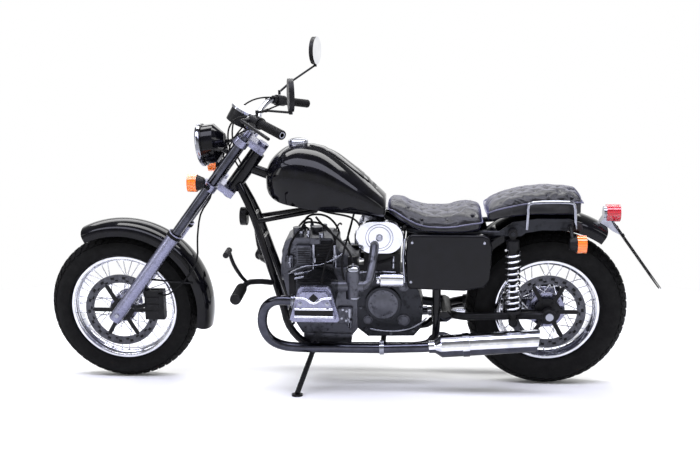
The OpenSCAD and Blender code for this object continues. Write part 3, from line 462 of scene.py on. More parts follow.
LENS_MM = 51.151
EYE = Vector((509.7, 3981.6, 1039.2))
PITCH, YAW = math.radians(5.90), math.radians(3.88)
look = Vector((math.sin(YAW) * math.cos(PITCH), -math.cos(YAW) * math.cos(PITCH),
               -math.sin(PITCH)))
right = Vector((-math.cos(YAW), -math.sin(YAW), 0))
camera = bpy.data.objects.new("camera", bpy.data.cameras.new("camera"))
bpy.context.scene.collection.objects.link(camera)
camera.matrix_world = Matrix.Translation(EYE / 1000 + PLACE) @ Matrix(
    (right, right.cross(look), -look)).transposed().to_4x4()
camera.data.lens = LENS_MM
camera.data.dof.use_dof = False
camera.data.clip_end = 60
bpy.context.scene.camera = camera

FLOOR_R = 3.1
floor_bm = bmesh.new()
bmesh.ops.create_circle(floor_bm, cap_ends=True, segments=96, radius=FLOOR_R)
floor_mesh = bpy.data.meshes.new("floor")
floor_bm.to_mesh(floor_mesh)
floor_bm.free()
floor = bpy.data.objects.new("floor", floor_mesh)
bpy.context.scene.collection.objects.link(floor)
floor_mat, _, floor_shader, _ = finish("pale_studio_floor", {"Roughness": 0.9,
                                                             "Specular IOR Level": 0.1})
floor_shader.inputs["Base Color"].default_value = linear("#f4f4f4")
floor_mesh.materials.append(floor_mat)


def soft_light(name, place, target, size, power, tint="#ffffff"):
    lamp = bpy.data.lights.new(name, "AREA")
    lamp.shape = "RECTANGLE"
    lamp.size, lamp.size_y = size
    lamp.energy = power
    lamp.color = linear(tint)[:3]
    holder = bpy.data.objects.new(name, lamp)
    bpy.context.scene.collection.objects.link(holder)
    way = Vector(target) - Vector(place)
    holder.matrix_world = Matrix.Translation(Vector(place)) @ way.to_track_quat(
        "-Z", "Y").to_matrix().to_4x4()
    return holder


soft_light("overhead_softbox", (0.2, 1.3, 3.4), (0.1, 0, 0.6), (6.5, 1.4), 200, "#ebecff")
soft_light("crest_softbox", (0.0, -0.9, 3.2), (0, -0.1, 0), (3.4, 0.9), 90)
soft_light("rear_strip", (-3.8, 1.0, 2.2), (0, 0, 0.6), (0.8, 2.4), 22)
soft_light("front_strip", (3.8, 1.6, 1.8), (0, 0, 0.6), (0.6, 2.0), 18)
soft_light("far_side_strip", (0.4, -3.6, 3.0), (0, -1.6, 0), (6.0, 1.4), 80)

world = bpy.data.worlds.new("studio")
bpy.context.scene.world = world
world.use_nodes = True
sky = world.node_tree
way_out = sky.nodes.new("ShaderNodeTexCoord").outputs["Generated"]
up_share = add(sky, "ShaderNodeSeparateXYZ", links={0: way_out}).outputs["Z"]
# White round the horizon and below it, darker overhead so that the tops keep their contrast
tone = add(sky, "ShaderNodeValToRGB",
           {"stops": [(0.0, 1.0), (0.2, 1.0), (0.45, 0.25), (1.0, 0.18)]}, {"Fac": up_share})
sky.links.new(tone.outputs["Color"], sky.nodes["Background"].inputs["Color"])
sky.nodes["Background"].inputs["Strength"].default_value = 1.0
bpy.context.scene.view_settings.view_transform = "Standard"

# ---------- wheels ----------

AXLES = {"front": Vector((WHEELBASE, 0, FRONT_Z)), "rear": Vector((0, 0, REAR_Z))}
BEAD_GAP = 0.3


def wheel_tyre(end, diameter, width, bead_d, blocks):
    """Cross-ply cruiser tyre: rounded crown with raised tread blocks and ridged walls."""
    at, crown, bead = AXLES[end], width / 2, bead_d / 2 + BEAD_GAP
    mid = diameter / 2 - crown
    seat = width * 0.31 - 1 - BEAD_GAP
    tread_h = 4.0
    wall = [(mid + (crown - 0.6) * math.sin(math.radians(a)),
             (crown - 0.6) * math.cos(math.radians(a))) for a in range(-24, 31, 6)]
    ridge = [(r + (0.9 if i % 2 else 0), y + (0.5 if i % 2 else 0))
             for i, (r, y) in enumerate(wall)]
    top = [(mid + (crown - tread_h) * math.sin(math.radians(a)),
            (crown - tread_h) * math.cos(math.radians(a))) for a in range(34, 91, 8)]
    half = [(bead, seat), (bead + 10, seat), (bead + 11.5, seat + 7)] + ridge + top
    outline = half + [(r, -y) for r, y in reversed(half[:-1])]
    outline.append(half[0])
    bm = bmesh.new()
    turned(bm, at, at + ACROSS, outline, sides=blocks * 4)
    bmesh.ops.recalc_face_normals(bm, faces=bm.faces)
    raised = []
    for face in bm.faces:
        c = face.calc_center_median() - at
        radius = math.hypot(c.x, c.z)
        if radius < mid + (crown - tread_h) * math.sin(math.radians(36)):
            continue
        turn = math.degrees(math.atan2(c.z, c.x)) % 360
        lane = int(abs(c.y) / (crown / 4.2))
        step = int(turn / 360 * blocks * 4 + 0.01 + lane)
        if step % 4 != 0 and abs(c.y) > crown * 0.06:
            raised.append(face)
    bmesh.ops.inset_region(bm, faces=raised, thickness=1.3, depth=0, use_even_offset=True)
    bmesh.ops.inset_region(bm, faces=raised, thickness=0.5, depth=tread_h - 0.4,
                           use_even_offset=True)
    return finish_piece(end + "_tyre_shown", bm, TYRE, end + "_wheel",
                        (end + "_tyre",), smooth=38)


def wheel_rim(end, width, bead_d):
    """Rolled steel rim: hooked edges, a dropped well and a nipple at each spoke."""
    at, bead, half, lip = AXLES[end], bead_d / 2, width * 0.31 - 1, 9.0
    side = [(bead - 15, 0), (bead - 15, half * 0.45), (bead - 12, half * 0.62),
            (bead - 5, half * 0.78), (bead - 4, half * 0.95), (bead - 3, half + 3.2),
            (bead - 1, half + 5.2), (bead + lip - 2.4, half + 6), (bead + lip - 0.5, half + 5.2),
            (bead + lip, half + 3.2), (bead + lip - 0.4, half + 0.8), (bead + lip - 2, half),
            (bead + 1, half), (bead, half * 0.85), (bead - 10.5, half * 0.56), (bead - 12, 0)]
    outline = side + [(r, -y) for r, y in reversed(side[1:-1])]
    outline.append(side[0])
    bm = bmesh.new()
    turned(bm, at, at + ACROSS, outline, sides=160)
    pairs = 18
    for i in range(pairs):
        for s in (-1, 1):
            a = math.tau * i / pairs + (math.pi / pairs if s > 0 else 0)
            out = Vector((math.cos(a), 0, math.sin(a)))
            rod(bm, at + out * (bead - 14.4) + ACROSS * s * 6,
                at + out * (bead - 22) + ACROSS * s * 6.5, 3.4, 2.6, 10)
    valve = Vector((math.cos(0.6), 0, math.sin(0.6)))
    rod(bm, at + valve * (bead - 14.5), at + valve * (bead - 44), 3.4, 3.0, 12)
    rod(bm, at + valve * (bead - 44), at + valve * (bead - 54), 4.4, 4.0, 12)
    return finish_piece(end + "_rim_shown", bm, BRIGHT_CHROME, end + "_wheel",
                        (end + "_rim",), smooth=40)


def wheel_hub(end, flange_r, core_r):
    """Finned alloy hub, with the crossed wire spokes taken over from the frame."""
    at = AXLES[end]
    split_finish(end + "_hub", end + "_wheel", [POLISHED, BRIGHT_CHROME],
                 lambda p, n: math.hypot(p.x - at.x, p.z - at.z) > flange_r + 1, 0.0, 2, 40)
    ribs = bmesh.new()
    for y in range(-18, 19, 9):
        turned(ribs, at + ACROSS * y, at + ACROSS * (y + 1),
               [(core_r - 1, -1.6), (core_r + 7, -1.2), (core_r + 7, 1.2), (core_r - 1, 1.6)],
               sides=64)
    for s in (-1, 1):
        for i in range(9):
            a = math.tau * (i + 0.5) / 9
            p = at + Vector((math.cos(a), 0, math.sin(a))) * (flange_r - 12) + ACROSS * s * 41.6
            rod(ribs, p, p + ACROSS * s * 1.8, 3.6, 3.2, 12)
    finish_piece(end + "_hub_ribs", ribs, CAST, end + "_wheel", smooth=40)


def wheel_disc(end, core_r):
    """Slotted stainless disc on a black six-arm carrier, bolted to the hub."""
    at, radius, band, y, thick = AXLES[end], 148.0, 34.0, 64.0, 5.0
    bm = bmesh.new()
    rows = [radius - band, radius - band + 6, radius - band + 14, radius - 8, radius]
    outline = [(r, -thick / 2) for r in rows] + [(r, thick / 2) for r in reversed(rows)]
    outline.append(outline[0])
    turned(bm, at + ACROSS * y, at + ACROSS * (y + 1), outline, sides=108)
    slots = []
    for face in bm.faces:
        c = face.calc_center_median() - at
        r = math.hypot(c.x, c.z)
        if abs(face.normal.y) < 0.9:
            continue
        step = int((math.degrees(math.atan2(c.z, c.x)) % 360) / 360 * 108)
        if rows[1] < r < rows[3] and (step + (2 if r > rows[2] else 0)) % 6 in (0, 1):
            slots.append(face)
    bmesh.ops.inset_region(bm, faces=slots, thickness=1.1, depth=-2.0, use_even_offset=True)
    # The slot floors take the satin black: painted shade in the grooves
    for face in slots:
        if face.is_valid:
            face.material_index = 1
    finish_piece(end + "_disc_shown", bm, [DISC_STEEL, SATIN], end + "_wheel",
                 (end + "_disc",), smooth=35)
    arms = bmesh.new()
    turned(arms, at + ACROSS * 54.3, at + ACROSS * 60,
           [(12.5, 0), (core_r + 12, 0), (core_r + 12, 11), (core_r + 8, 12.6), (12.5, 12.6),
            (12.5, 0)], sides=64)
    for i in range(6):
        a = math.tau * i / 6
        out = Vector((math.cos(a), 0, math.sin(a)))
        turn = Matrix.Rotation(-a, 4, "Y")
        mid_r = (core_r + radius - band) / 2 + 4
        block(arms, at + out * mid_r + ACROSS * y, (radius - band - core_r + 6, 3.4, 17), turn)
        rod(arms, at + out * (radius - band + 1) + ACROSS * (y - 3.4),
            at + out * (radius - band + 1) + ACROSS * (y + 3.6), 5.2, sides=16)
        rod(arms, at + out * (core_r + 2) + ACROSS * 66, at + out * (core_r + 2) + ACROSS * 71,
            5.0, sides=6)
    finish_piece(end + "_disc_carrier", arms, SATIN, end + "_wheel", smooth=35,
                 bevel=0.8)


wheel_tyre("front", FRONT_D, FRONT_W, FRONT_BEAD, 54)
wheel_tyre("rear", REAR_D, REAR_W, REAR_BEAD, 54)
wheel_rim("front", FRONT_W, FRONT_BEAD)
wheel_rim("rear", REAR_W, REAR_BEAD)
wheel_hub("front", 56, 34)
wheel_hub("rear", 70, 44)
wheel_disc("front", 34)
wheel_disc("rear", 40)

# ---------- CAD nodes shown with broken edges ----------

ROUNDED = {
    "main_frame": ("body", "gloss_black", 1.0), "rear_subframe": ("body", "polished_alloy", 1.0),
    "engine_block": ("body", "cast_alloy", 5.0), "cylinders": ("body", "cast_alloy", 0.7),
    "gearbox": ("body", "cast_alloy", 6.0),
    "carburettors": ("body", "cast_alloy", 1.2), "exhaust_headers": ("body", "chrome", 0.0),
    "side_covers": ("body", "gloss_black", 9.0), "rear_fender": ("body", "gloss_black", 1.0),
    "grab_rails": ("body", "chrome", 0.0), "swing_arm": ("body", "satin_black", 1.5),
    "final_drive": ("body", "cast_alloy", 5.0), "rear_axle": ("body", "chrome", 0.8),
    "rear_caliper": ("body", "satin_black", 4.0), "foot_controls": ("body", "satin_black", 1.0),
    "horn": ("body", "satin_black", 3.0), "fork_yokes": ("steering", "polished_alloy", 3.0),
    "fork_tubes": ("steering", "chrome", 1.0), "fork_sliders": ("steering", "polished_alloy", 2.0),
    "front_fender": ("steering", "gloss_black", 1.0), "handlebar": ("steering", "chrome", 1.0),
    "hand_controls": ("steering", "satin_black", 2.0),
    "front_axle": ("steering", "chrome", 0.8), "front_caliper": ("steering", "satin_black", 4.0),
    "control_cables": ("steering", "rubber", 0.0), "side_stand": ("side_stand", "satin_black", 1.2),
}
for node_name, (body_name, slot_name, edge_mm) in ROUNDED.items():
    rounded(node_name, NODE_FINISH[node_name], body_name, edge_mm,
            segments=3 if edge_mm > 3 else 2)

# ---------- tank ----------

SPINE_FRONT, SPINE_BACK = leg(770, 0, -70), Vector((560, 0, 655))
TUNNEL = 26
TANK = [(632, 764, 730, 688, 104), (650, 782, 742, 693, 116), (700, 830, 768, 706, 130),
        (763, 884, 797, 716, 143), (828, 932, 822, 722, 150), (880, 957, 842, 727, 152),
        (930, 967, 854, 734, 150), (975, 969, 860, 742, 145), (1020, 955, 862, 750, 133),
        (1055, 930, 858, 762, 114), (1078, 905, 852, 780, 92), (1090, 882, 848, 796, 66)]


def eased(rows, steps):
    """Catmull-Rom rows through the given rows, steps to a span."""
    rows = [tuple(2 * a - b for a, b in zip(rows[0], rows[1]))] + list(rows) + [
        tuple(2 * a - b for a, b in zip(rows[-1], rows[-2]))]
    out = []
    for i in range(1, len(rows) - 2):
        p0, p1, p2, p3 = rows[i - 1:i + 3]
        for k in range(steps):
            t = k / steps
            out.append(tuple(0.5 * (2 * b + (c - a) * t + (2 * a - 5 * b + 4 * c - d) * t * t
                                    + (3 * b - a - 3 * c + d) * t ** 3)
                             for a, b, c, d in zip(p0, p1, p2, p3)))
    return out + [rows[-2]]


def tank_ring(x, top, side, low, half):
    slope = (SPINE_FRONT.z - SPINE_BACK.z) / (SPINE_FRONT.x - SPINE_BACK.x)
    roof = max(low + 6, SPINE_BACK.z + slope * (x - SPINE_BACK.x) + TUNNEL)
    arc = [(x, half * math.cos(math.radians(a)), side + (top - side) * math.sin(math.radians(a)))
           for a in range(0, 181, 9)]
    under = [(-half * 0.985, side - 0.3 * (side - low)), (-half * 0.93, side - 0.66 * (side - low)),
             (-half * 0.84, low + 4), (-half * 0.7, low), (-TUNNEL, low), (-TUNNEL, roof - 6),
             (-TUNNEL + 8, roof)]
    return arc + [(x, y, z) for y, z in under] + [(x, -y, z) for y, z in reversed(under)]


tank_bm = bmesh.new()
loft(tank_bm, [tank_ring(*row) for row in eased(TANK, 3)])
finish_piece("tank_shell", tank_bm, BLACK_PAINT, "body", ("fuel_tank",), smooth=50)


def row_at(rows, x):
    """The eased row nearest to x."""
    return min(eased(rows, 6), key=lambda r: abs(r[0] - x))


def tank_top(x, y):
    near = row_at(TANK, x)
    return near[2] + (near[1] - near[2]) * math.sqrt(max(0, 1 - (y / near[4]) ** 2))


def strip(name, ends, half, lift, mat):
    """A thin crowned band along the top of the tank."""
    bm = bmesh.new()
    rings = []
    for i in range(25):
        x = ends[0] + (ends[1] - ends[0]) * i / 24
        wide = half * (0.55 + 0.45 * math.sin(math.pi * (0.15 + 0.75 * i / 24)))
        rings.append([(x, wide * k, tank_top(x, wide * k) + lift * (1 - 0.5 * k * k))
                      for k in (-1, -0.6, 0, 0.6, 1)]
                     + [(x, wide * k, tank_top(x, wide * k) - 3) for k in (0.97, -0.97)])
    loft(bm, rings)
    return finish_piece(name, bm, mat, "body", smooth=50)


strip("tank_crest_seam", (660, 925), 42, 1.0, SATIN)
strip("tank_crest", (664, 922), 37, 3.6, BLACK_PAINT)

CAP = Vector((971, 0, 962))
cap_bm = bmesh.new()
turned(cap_bm, CAP, CAP + UP, [(0, 0), (37.6, 0), (37.6, 9), (38, 10), (38, 17), (36, 21),
                              (30, 24.5), (18, 27.5), (0, 28.6)], sides=72)
for i in range(24):
    a = math.tau * i / 24
    way = Vector((math.cos(a), math.sin(a), 0))
    rod(cap_bm, CAP + way * 37.3 + UP * 8.5, CAP + way * 37.3 + UP * 18, 1.7, 1.5, 8)
finish_piece("fuel_cap_shown", cap_bm, CHROME, "body", ("fuel_cap",), smooth=35)

# ---------- seats ----------

RIDER = [(262, 724, 668, 128), (276, 738, 658, 140), (328, 734, 653.2, 150),
         (382, 714, 652, 152), (464, 712, 652.4, 148), (517, 724, 663, 138),
         (565, 751, 682, 120), (600, 771, 700, 102), (622, 756, 712, 86)]
PILLION = [(-112, 788, 720, 100), (-100, 798, 716, 106), (0, 802, 715.3, 114),
           (60, 798, 715.5, 116), (115, 790, 712, 116), (194, 768, 700, 114),
           (232, 752, 690, 110), (248, 736, 690, 104)]


def seat_ring(x, top, low, half, shrink):
    mid = low + 0.45 * (top - low)
    top, half = top - shrink, half - shrink
    arc = [(x, half * math.cos(math.radians(a)) * (1 - 0.04 * math.sin(math.radians(a))),
            mid + (top - mid) * max(0.0, math.sin(math.radians(a))) ** 0.6)
           for a in range(0, 181, 12)]
    return arc + [(x, -half * 0.97, low + 6), (x, -half * 0.9, low), (x, half * 0.9, low),
                  (x, half * 0.97, low + 6)]


def shaped_by(mesh, kind, **settings):
    """The mesh after one modifier, given as a new mesh."""
    holder = bpy.data.objects.new("shaping", mesh)
    bpy.context.scene.collection.objects.link(holder)
    mod = holder.modifiers.new("shaping", kind)
    for key, value in settings.items():
        target = mod.settings if kind == "CLOTH" else mod
        setattr(target, key, value)
    if kind == "CLOTH":
        mod.settings.effector_weights.gravity = 0
        for step in range(1, 21):
            bpy.context.scene.frame_set(step)
    graph = bpy.context.evaluated_depsgraph_get()
    made = bpy.data.meshes.new_from_object(holder.evaluated_get(graph))
    bpy.data.objects.remove(holder)
    bpy.context.scene.frame_set(1)
    return made


def cushion(name, rows, node, buttons, welts, swell_mm=11, shrink=6):
    """A padded seat: swelled by air pressure, then drawn in at its buttons and welts."""
    bm = bmesh.new()
    x_mid = (rows[0][0] + rows[-1][0]) / 2
    squeeze = 1 - 2 * shrink / abs(rows[-1][0] - rows[0][0])
    loft(bm, [seat_ring(x_mid + (r[0] - x_mid) * squeeze, *r[1:], shrink)
              for r in eased(rows, 2)])
    bmesh.ops.transform(bm, matrix=TO_FRAME, verts=bm.verts)
    mesh = bpy.data.meshes.new(name)
    bm.to_mesh(mesh)
    bm.free()
    mesh = shaped_by(mesh, "REMESH", mode="VOXEL", voxel_size=0.005)
    air = shaped_by(mesh, "CLOTH", use_pressure=True, uniform_pressure_force=4.0,
                    quality=6, mass=0.3, tension_stiffness=18, compression_stiffness=18,
                    bending_stiffness=0.6)
    for v, w in zip(mesh.vertices, air.vertices):
        move = w.co - v.co
        if move.length > swell_mm / 1000:
            move *= swell_mm / 1000 / move.length
        lift = (TO_BIKE @ v.co).z
        base = min(rows, key=lambda r: abs(r[0] - (TO_BIKE @ v.co).x))[2]
        v.co = v.co + move * min(1.0, max(0.0, (lift - base - 8) / 18))
    for v in mesh.vertices:
        p = TO_BIKE @ v.co
        if v.normal.z < 0.25:
            continue
        pull = 0.0
        for b in buttons:
            d = math.hypot(p.x - b[0], p.y - b[1])
            pull = max(pull, 8.0 * math.exp(-(d / 9.0) ** 2), 4.0 * math.exp(-(d / 24.0) ** 2))
        for a, b in welts:
            t = max(0.0, min(1.0, ((p.x - a[0]) * (b[0] - a[0]) + (p.y - a[1]) * (b[1] - a[1]))
                             / ((b[0] - a[0]) ** 2 + (b[1] - a[1]) ** 2)))
            d = math.hypot(p.x - a[0] - t * (b[0] - a[0]), p.y - a[1] - t * (b[1] - a[1]))
            pull = max(pull, 3.2 * math.exp(-(d / 5.5) ** 2))
        p.z -= pull
        v.co = TO_FRAME @ p
    piece = dress(name, mesh, LEATHER, "body", (node,), smooth=0, subdivide=1)
    return piece


grid = [(x, y) for i, x in enumerate((300, 348, 396, 444, 492, 540))
        for y in ((-76, 0, 76) if i % 2 else (-112, -38, 38, 112))
        if abs(y) < row_at(RIDER, x)[3] - 18]
seams = [(a, b) for a in grid for b in grid
         if a[0] < b[0] and 40 < math.hypot(a[0] - b[0], a[1] - b[1]) < 64]
cushion("rider_cushion", RIDER, "rider_seat", grid, seams)
rear_grid = [(x, y) for i, x in enumerate((-70, -26, 18, 62, 106, 150, 194))
             for y in ((-56, 0, 56) if i % 2 else (-84, -28, 28, 84))]
rear_seams = [(a, b) for a in rear_grid for b in rear_grid
              if a[0] < b[0] and 35 < math.hypot(a[0] - b[0], a[1] - b[1]) < 56]
cushion("pillion_cushion", PILLION, "pillion_seat", rear_grid, rear_seams)


def seat_edge(rows, level, out):
    """The line round a seat at a share of its height, out past its side."""
    line = []
    for s in (1, -1):
        part = []
        for x, top, low, half in eased(rows, 2):
            part.append((x, s * (half + out), low + level * (top - low)))
        line += part if s > 0 else part[::-1]
    return line


# Piping round both seats; its pale lilac colour is a painted highlight along their side edges
pipes("rider_piping", [seat_edge(RIDER, 0.42, 0.6)], 2.6, PIPING_PAINTED_HIGHLIGHT, "body", cyclic=True)
pipes("pillion_piping", [seat_edge(PILLION, 0.6, -1.5)], 2.8, PIPING_PAINTED_HIGHLIGHT, "body",
      cyclic=True)
button_bm = bmesh.new()
for rows, spots in ((RIDER, grid), (PILLION, rear_grid)):
    for x, y in spots:
        r = row_at(rows, x)
        mid = r[2] + 0.45 * (r[1] - r[2])
        across = min(0.99, abs(y) / r[3])
        z = mid + (r[1] - mid) * math.sqrt(1 - across ** 2) ** 0.6 - 8
        turned(button_bm, (x, y, z - 4), (x, y, z), [(0, 0), (6.5, 0), (6.5, 3), (4.5, 5), (0, 6)],
               sides=16)
finish_piece("seat_buttons", button_bm, LEATHER, "body", smooth=50)

# ---------- engine ----------

CYL = Vector((885, 0, 425))

rounded("rocker_covers", POLISHED, "body", 5.0, segments=4)
for s, side in ((1, "left"), (-1, "right")):
    ribs = [[(CYL.x + x, s * 352.5, CYL.z + z) for x, z in line] for line in (
        [(-66, 34), (-40, 34), (-26, 32), (0, 6), (26, 32), (40, 34), (66, 34)],
        [(-70, -8), (-24, -8), (24, -8), (70, -8)], [(-72, -38), (-24, -38), (24, -38), (72, -38)])]
    bm = bmesh.new()
    # Thin satin black sheets over the lower band and in the V-notch of the rocker cover: painted
    # shade
    block(bm, (CYL.x, s * 352.2, CYL.z - 23), (142, 2.4, 24))
    block(bm, (CYL.x, s * 352.2, CYL.z + 34), (25, 2.4, 25), Matrix.Rotation(math.pi / 4, 4, "Y"))
    finish_piece("rocker_painted_shade_" + side, bm, SATIN, "body", smooth=30)
    pipes("rocker_ribs_" + side, ribs, 5.2, BRIGHT_CHROME, "body", resolution=4)
    bm = bmesh.new()
    for x, z in ((-50, 12), (50, 12)):
        p = Vector((CYL.x + x, s * 350, CYL.z + z))
        rod(bm, p, p + ACROSS * s * 6, 8, sides=24)
        rod(bm, p + ACROSS * s * 6, p + ACROSS * s * 11, 5.4, sides=6)
    for x in (-62, 62):
        for z in (-48, -16, 16, 48):
            p = Vector((CYL.x + x, s * 226, CYL.z + z))
            rod(bm, p, p - ACROSS * s * 9, 4.4, sides=6)
    finish_piece("head_bolts_" + side, bm, CHROME, "body", smooth=30, bevel=0.5)
    bm = bmesh.new()
    start = Vector((CYL.x + 80, s * 262, CYL.z - 7))
    turned(bm, start - Vector((3, 0, 0)), start + Vector((20, 0, 0)),
           [(19.2, 0), (29, 0), (29, 3), (23, 3.5), (23, 6), (29, 6.5), (29, 9), (23, 9.5),
            (23, 12), (28, 12.5), (28, 15), (22, 16), (19.2, 18), (19.2, 0)], sides=48)
    joint_a, joint_b = Vector((650, s * 212, 212)), Vector((630, s * 212, 212.6))
    turned(bm, joint_a, joint_b, [(19.1, 0), (24, 0), (24, 17), (19.1, 17), (19.1, 0)], sides=40)
    block(bm, (642, s * 212, 238), (16, 9, 12))
    rod(bm, (642, s * 203, 239), (642, s * 221, 239), 4, sides=6)
    finish_piece("header_nuts_" + side, bm, CHROME, "body", smooth=35, bevel=0.5)
    lead = [(CYL.x - 24, s * 276, CYL.z + 62), (CYL.x - 26, s * 268, CYL.z + 104),
            (CYL.x - 44, s * 210, CYL.z + 170), (CYL.x - 66, s * 130, CYL.z + 196),
            (CYL.x - 72, s * 70, CYL.z + 204)]
    pipes("plug_lead_" + side, [lead], 3.6, RUBBER, "body")
    bm = bmesh.new()
    rod(bm, lead[0], (CYL.x - 25, s * 272, CYL.z + 84), 8, 6.5, 20)
    finish_piece("plug_cap_" + side, bm, RUBBER, "body", smooth=35, bevel=1)
    bm = bmesh.new()
    for i in range(6):
        z = 505 + 15 * i
        block(bm, (955 - 3 * i, s * 81.5, z), (130 - 10 * i, 11, 5))
    for x, z in ((975, 300), (992, 380), (1008, 470), (1010, 560), (838, 590), (800, 520),
                 (760, 490), (762, 240), (860, 232), (950, 240)):
        p = Vector((x, s * 79, z))
        rod(bm, p, p + ACROSS * s * 7, 6.2, sides=20)
        rod(bm, p + ACROSS * s * 7, p + ACROSS * s * 12, 4.2, sides=6)
    finish_piece("case_ribs_" + side, bm, CAST, "body", smooth=30, bevel=1.0)
    bm = bmesh.new()
    hub = Vector((640, s * 95, 350))
    turned(bm, hub, hub + ACROSS * s, [(0, 5), (34, 5), (40, 2.4), (58, 2.4), (60, 0), (66, 0),
                                      (66, -6), (0, -6), (0, 5)], sides=64)
    for i in range(8):
        a = math.tau * i / 8
        p = hub + Vector((math.cos(a), 0, math.sin(a))) * 49
        rod(bm, p, p + ACROSS * s * 6, 5, sides=6)
    for x, z in ((520, 236), (494, 330), (514, 452), (580, 470), (700, 470), (728, 330),
                 (708, 240), (610, 224)):
        p = Vector((x, s * 77, z))
        rod(bm, p, p + ACROSS * s * 7, 6, sides=18)
        rod(bm, p + ACROSS * s * 7, p + ACROSS * s * 11, 4.2, sides=6)
    finish_piece("gearbox_cover_" + side, bm, CAST, "body", smooth=32, bevel=0.8)
    bm = bmesh.new()
    top = both((745, 262, 540), s)
    turned(bm, top, top + UP, [(0, 0), (25, 0), (25.6, 4), (23, 12), (14, 17), (0, 18.5)], sides=48)
    turned(bm, top + UP * 16, top + UP * 17, [(0, 0), (5, 0), (5, 9), (3, 12), (0, 12)], sides=20)
    bowl = both((745, 262, 426), s)
    turned(bm, bowl, bowl + UP, [(0, 0), (15, 0), (23, 4), (26.5, 9), (26.5, 13), (0, 13)],
           sides=48)
    finish_piece("carburettor_caps_" + side, bm, CHROME, "body", smooth=38)
    bm = bmesh.new()
    dome = both((653, 119.6, 626), s)
    turned(bm, dome, dome + ACROSS * s, [(0, 0), (0, 8), (9, 8), (10, 6), (14, 5), (14, 0)],
           sides=36)
    for r in (42, 52):
        turned(bm, dome, dome + ACROSS * s, [(r - 2, -1), (r - 1.4, 1.7), (r, 2.2), (r + 1.4, 1.7),
                                            (r + 2, -1), (r - 2, -1)], sides=64)
    finish_piece("air_cleaner_trim_" + side, bm, CHROME, "body", smooth=40)

# ---------- lamps, gauge and mirrors ----------

LAMP, LAMP_WAY = Vector((1352, 0, 962)), Vector((1, 0, -0.13)).normalized()
rounded("headlight_shell", BLACK_PAINT, "steering", 1.5)
rim_bm = bmesh.new()
turned(rim_bm, LAMP, LAMP + LAMP_WAY, [(74.3, -12), (81.5, -13), (83.6, -10), (84.2, -4),
                                      (82.5, 2), (78.5, 4.6), (74.3, 4), (74.3, -12)], sides=96)
finish_piece("headlight_rim", rim_bm, CHROME, "steering", smooth=45)
bowl_bm = bmesh.new()
turned(bowl_bm, LAMP, LAMP + LAMP_WAY, [(14, -15.6), (30, -15), (52, -12), (73.4, -4),
                                       (73.4, -15.8), (14, -15.8), (14, -15.6)], sides=72)
turned(bowl_bm, LAMP, LAMP + LAMP_WAY, [(0, -15.6), (13, -15.6), (13, -9), (8, -3), (0, -2)],
       sides=32)
finish_piece("headlight_reflector", bowl_bm, CHROME, "steering", smooth=45)
lens_bm = bmesh.new()
turned(lens_bm, LAMP, LAMP + LAMP_WAY, [(0, 6.5), (30, 5.8), (56, 3.6), (73.5, 0), (73.5, -2.5),
                                       (56, 1.2), (30, 3.4), (0, 4.0)], sides=72)
finish_piece("headlight_glass", lens_bm, GLASS, "steering", ("headlight_lens",), smooth=45)

GAUGE, GAUGE_WAY = Vector((1194, 0, 1074)), Vector((-0.5, 0, 0.87)).normalized()
split_finish("gauge", "steering", [CHROME, SATIN],
             lambda p, n: (p - GAUGE).dot(GAUGE_WAY) < 6, 1.2, 2, 38)
split_finish("front_indicators", "steering",
             [SATIN, AMBER], lambda p, n: p.x > 1329 and abs(p.y) > 150, 3.0, 3)
split_finish("rear_indicators", "body",
             [SATIN, AMBER], lambda p, n: p.x < -79 and abs(p.y) > 150, 3.0, 3)
split_finish("tail_lamp", "body", [CHROME, RED],
             lambda p, n: p.x < -214 and math.hypot(p.y, p.z - 700) < 35.5, 1.5, 3)
# Painted reflection and painted shade: the silencers' downward faces and their inner sides take the
# darkened chrome, standing for the dark ground below and the shade towards the wheel; the rest
# takes the bright chrome
split_finish("silencers", "body", [BRIGHT_CHROME, DARK_CHROME],
             lambda p, n: n.z < -0.12 or abs(p.y) < 160, 1.0, 2)
split_finish("mirrors", "steering", [SATIN, MIRROR_GLASS],
             lambda p, n: n.x < -0.85 and p.z > 1120, 2.0, 3)
split_finish("number_plate", "body", [SATIN, PLATE_WHITE],
             lambda p, n: n.x < -0.5, 0.6, 2)

# ---------- small parts of the running gear ----------

coil_lines = []
for s in BOTH:
    a, b = both((150, 140, 652), s), both((140, 140, 300), s)
    way = (b - a).normalized()
    first, last = a + way * 60.3, b - way * 50.3
    e1 = way.cross(Vector((1, 0, 0)).cross(way)).normalized()
    e2 = way.cross(e1)
    turns, per = 10, 14
    line = []
    for i in range(turns * per + 1):
        t = i / (turns * per)
        ang = math.tau * i / per
        line.append(first.lerp(last, 0.02 + 0.96 * t) + 26.5 * (e1 * math.cos(ang)
                                                              + e2 * math.sin(ang)))
    coil_lines.append(line)
pipes("spring_coils", coil_lines, 4.4, BRIGHT_CHROME, "body", replaces=("shock_springs",))
rounded("shock_absorbers", SATIN, "body", 1.5)

grip_bm = bmesh.new()
GRIP_IN, GRIP_END = Vector((1062, 313, 1092)), Vector((976, 405, 1068))
for s in BOTH:
    a, b = both(GRIP_IN, s), both(GRIP_END, s)
    length = (b - a).length
    ribs = [(11.3, 0), (18.5, 0), (18.5, 3)]
    n = 13
    for i in range(n):
        h = 5 + (length - 12) * i / n
        ribs += [(16.2, h), (17, h + 1), (17, h + 6), (16.2, h + 7)]
    ribs += [(17.4, length - 4), (16.4, length), (11.3, length), (11.3, 0)]
    turned(grip_bm, a, b, ribs, sides=40)
finish_piece("grips_shown", grip_bm, RUBBER, "steering", ("grips",), smooth=40)

trim_bm = bmesh.new()
for s in BOTH:
    turned(trim_bm, leg(396, s * FORK_Y), leg(430, s * FORK_Y),
           [(19.2, 0), (29.4, 0), (29.4, 13), (26, 18), (19.2, 19), (19.2, 0)], sides=48)
finish_piece("fork_dust_seals", trim_bm, RUBBER, "steering", smooth=40)

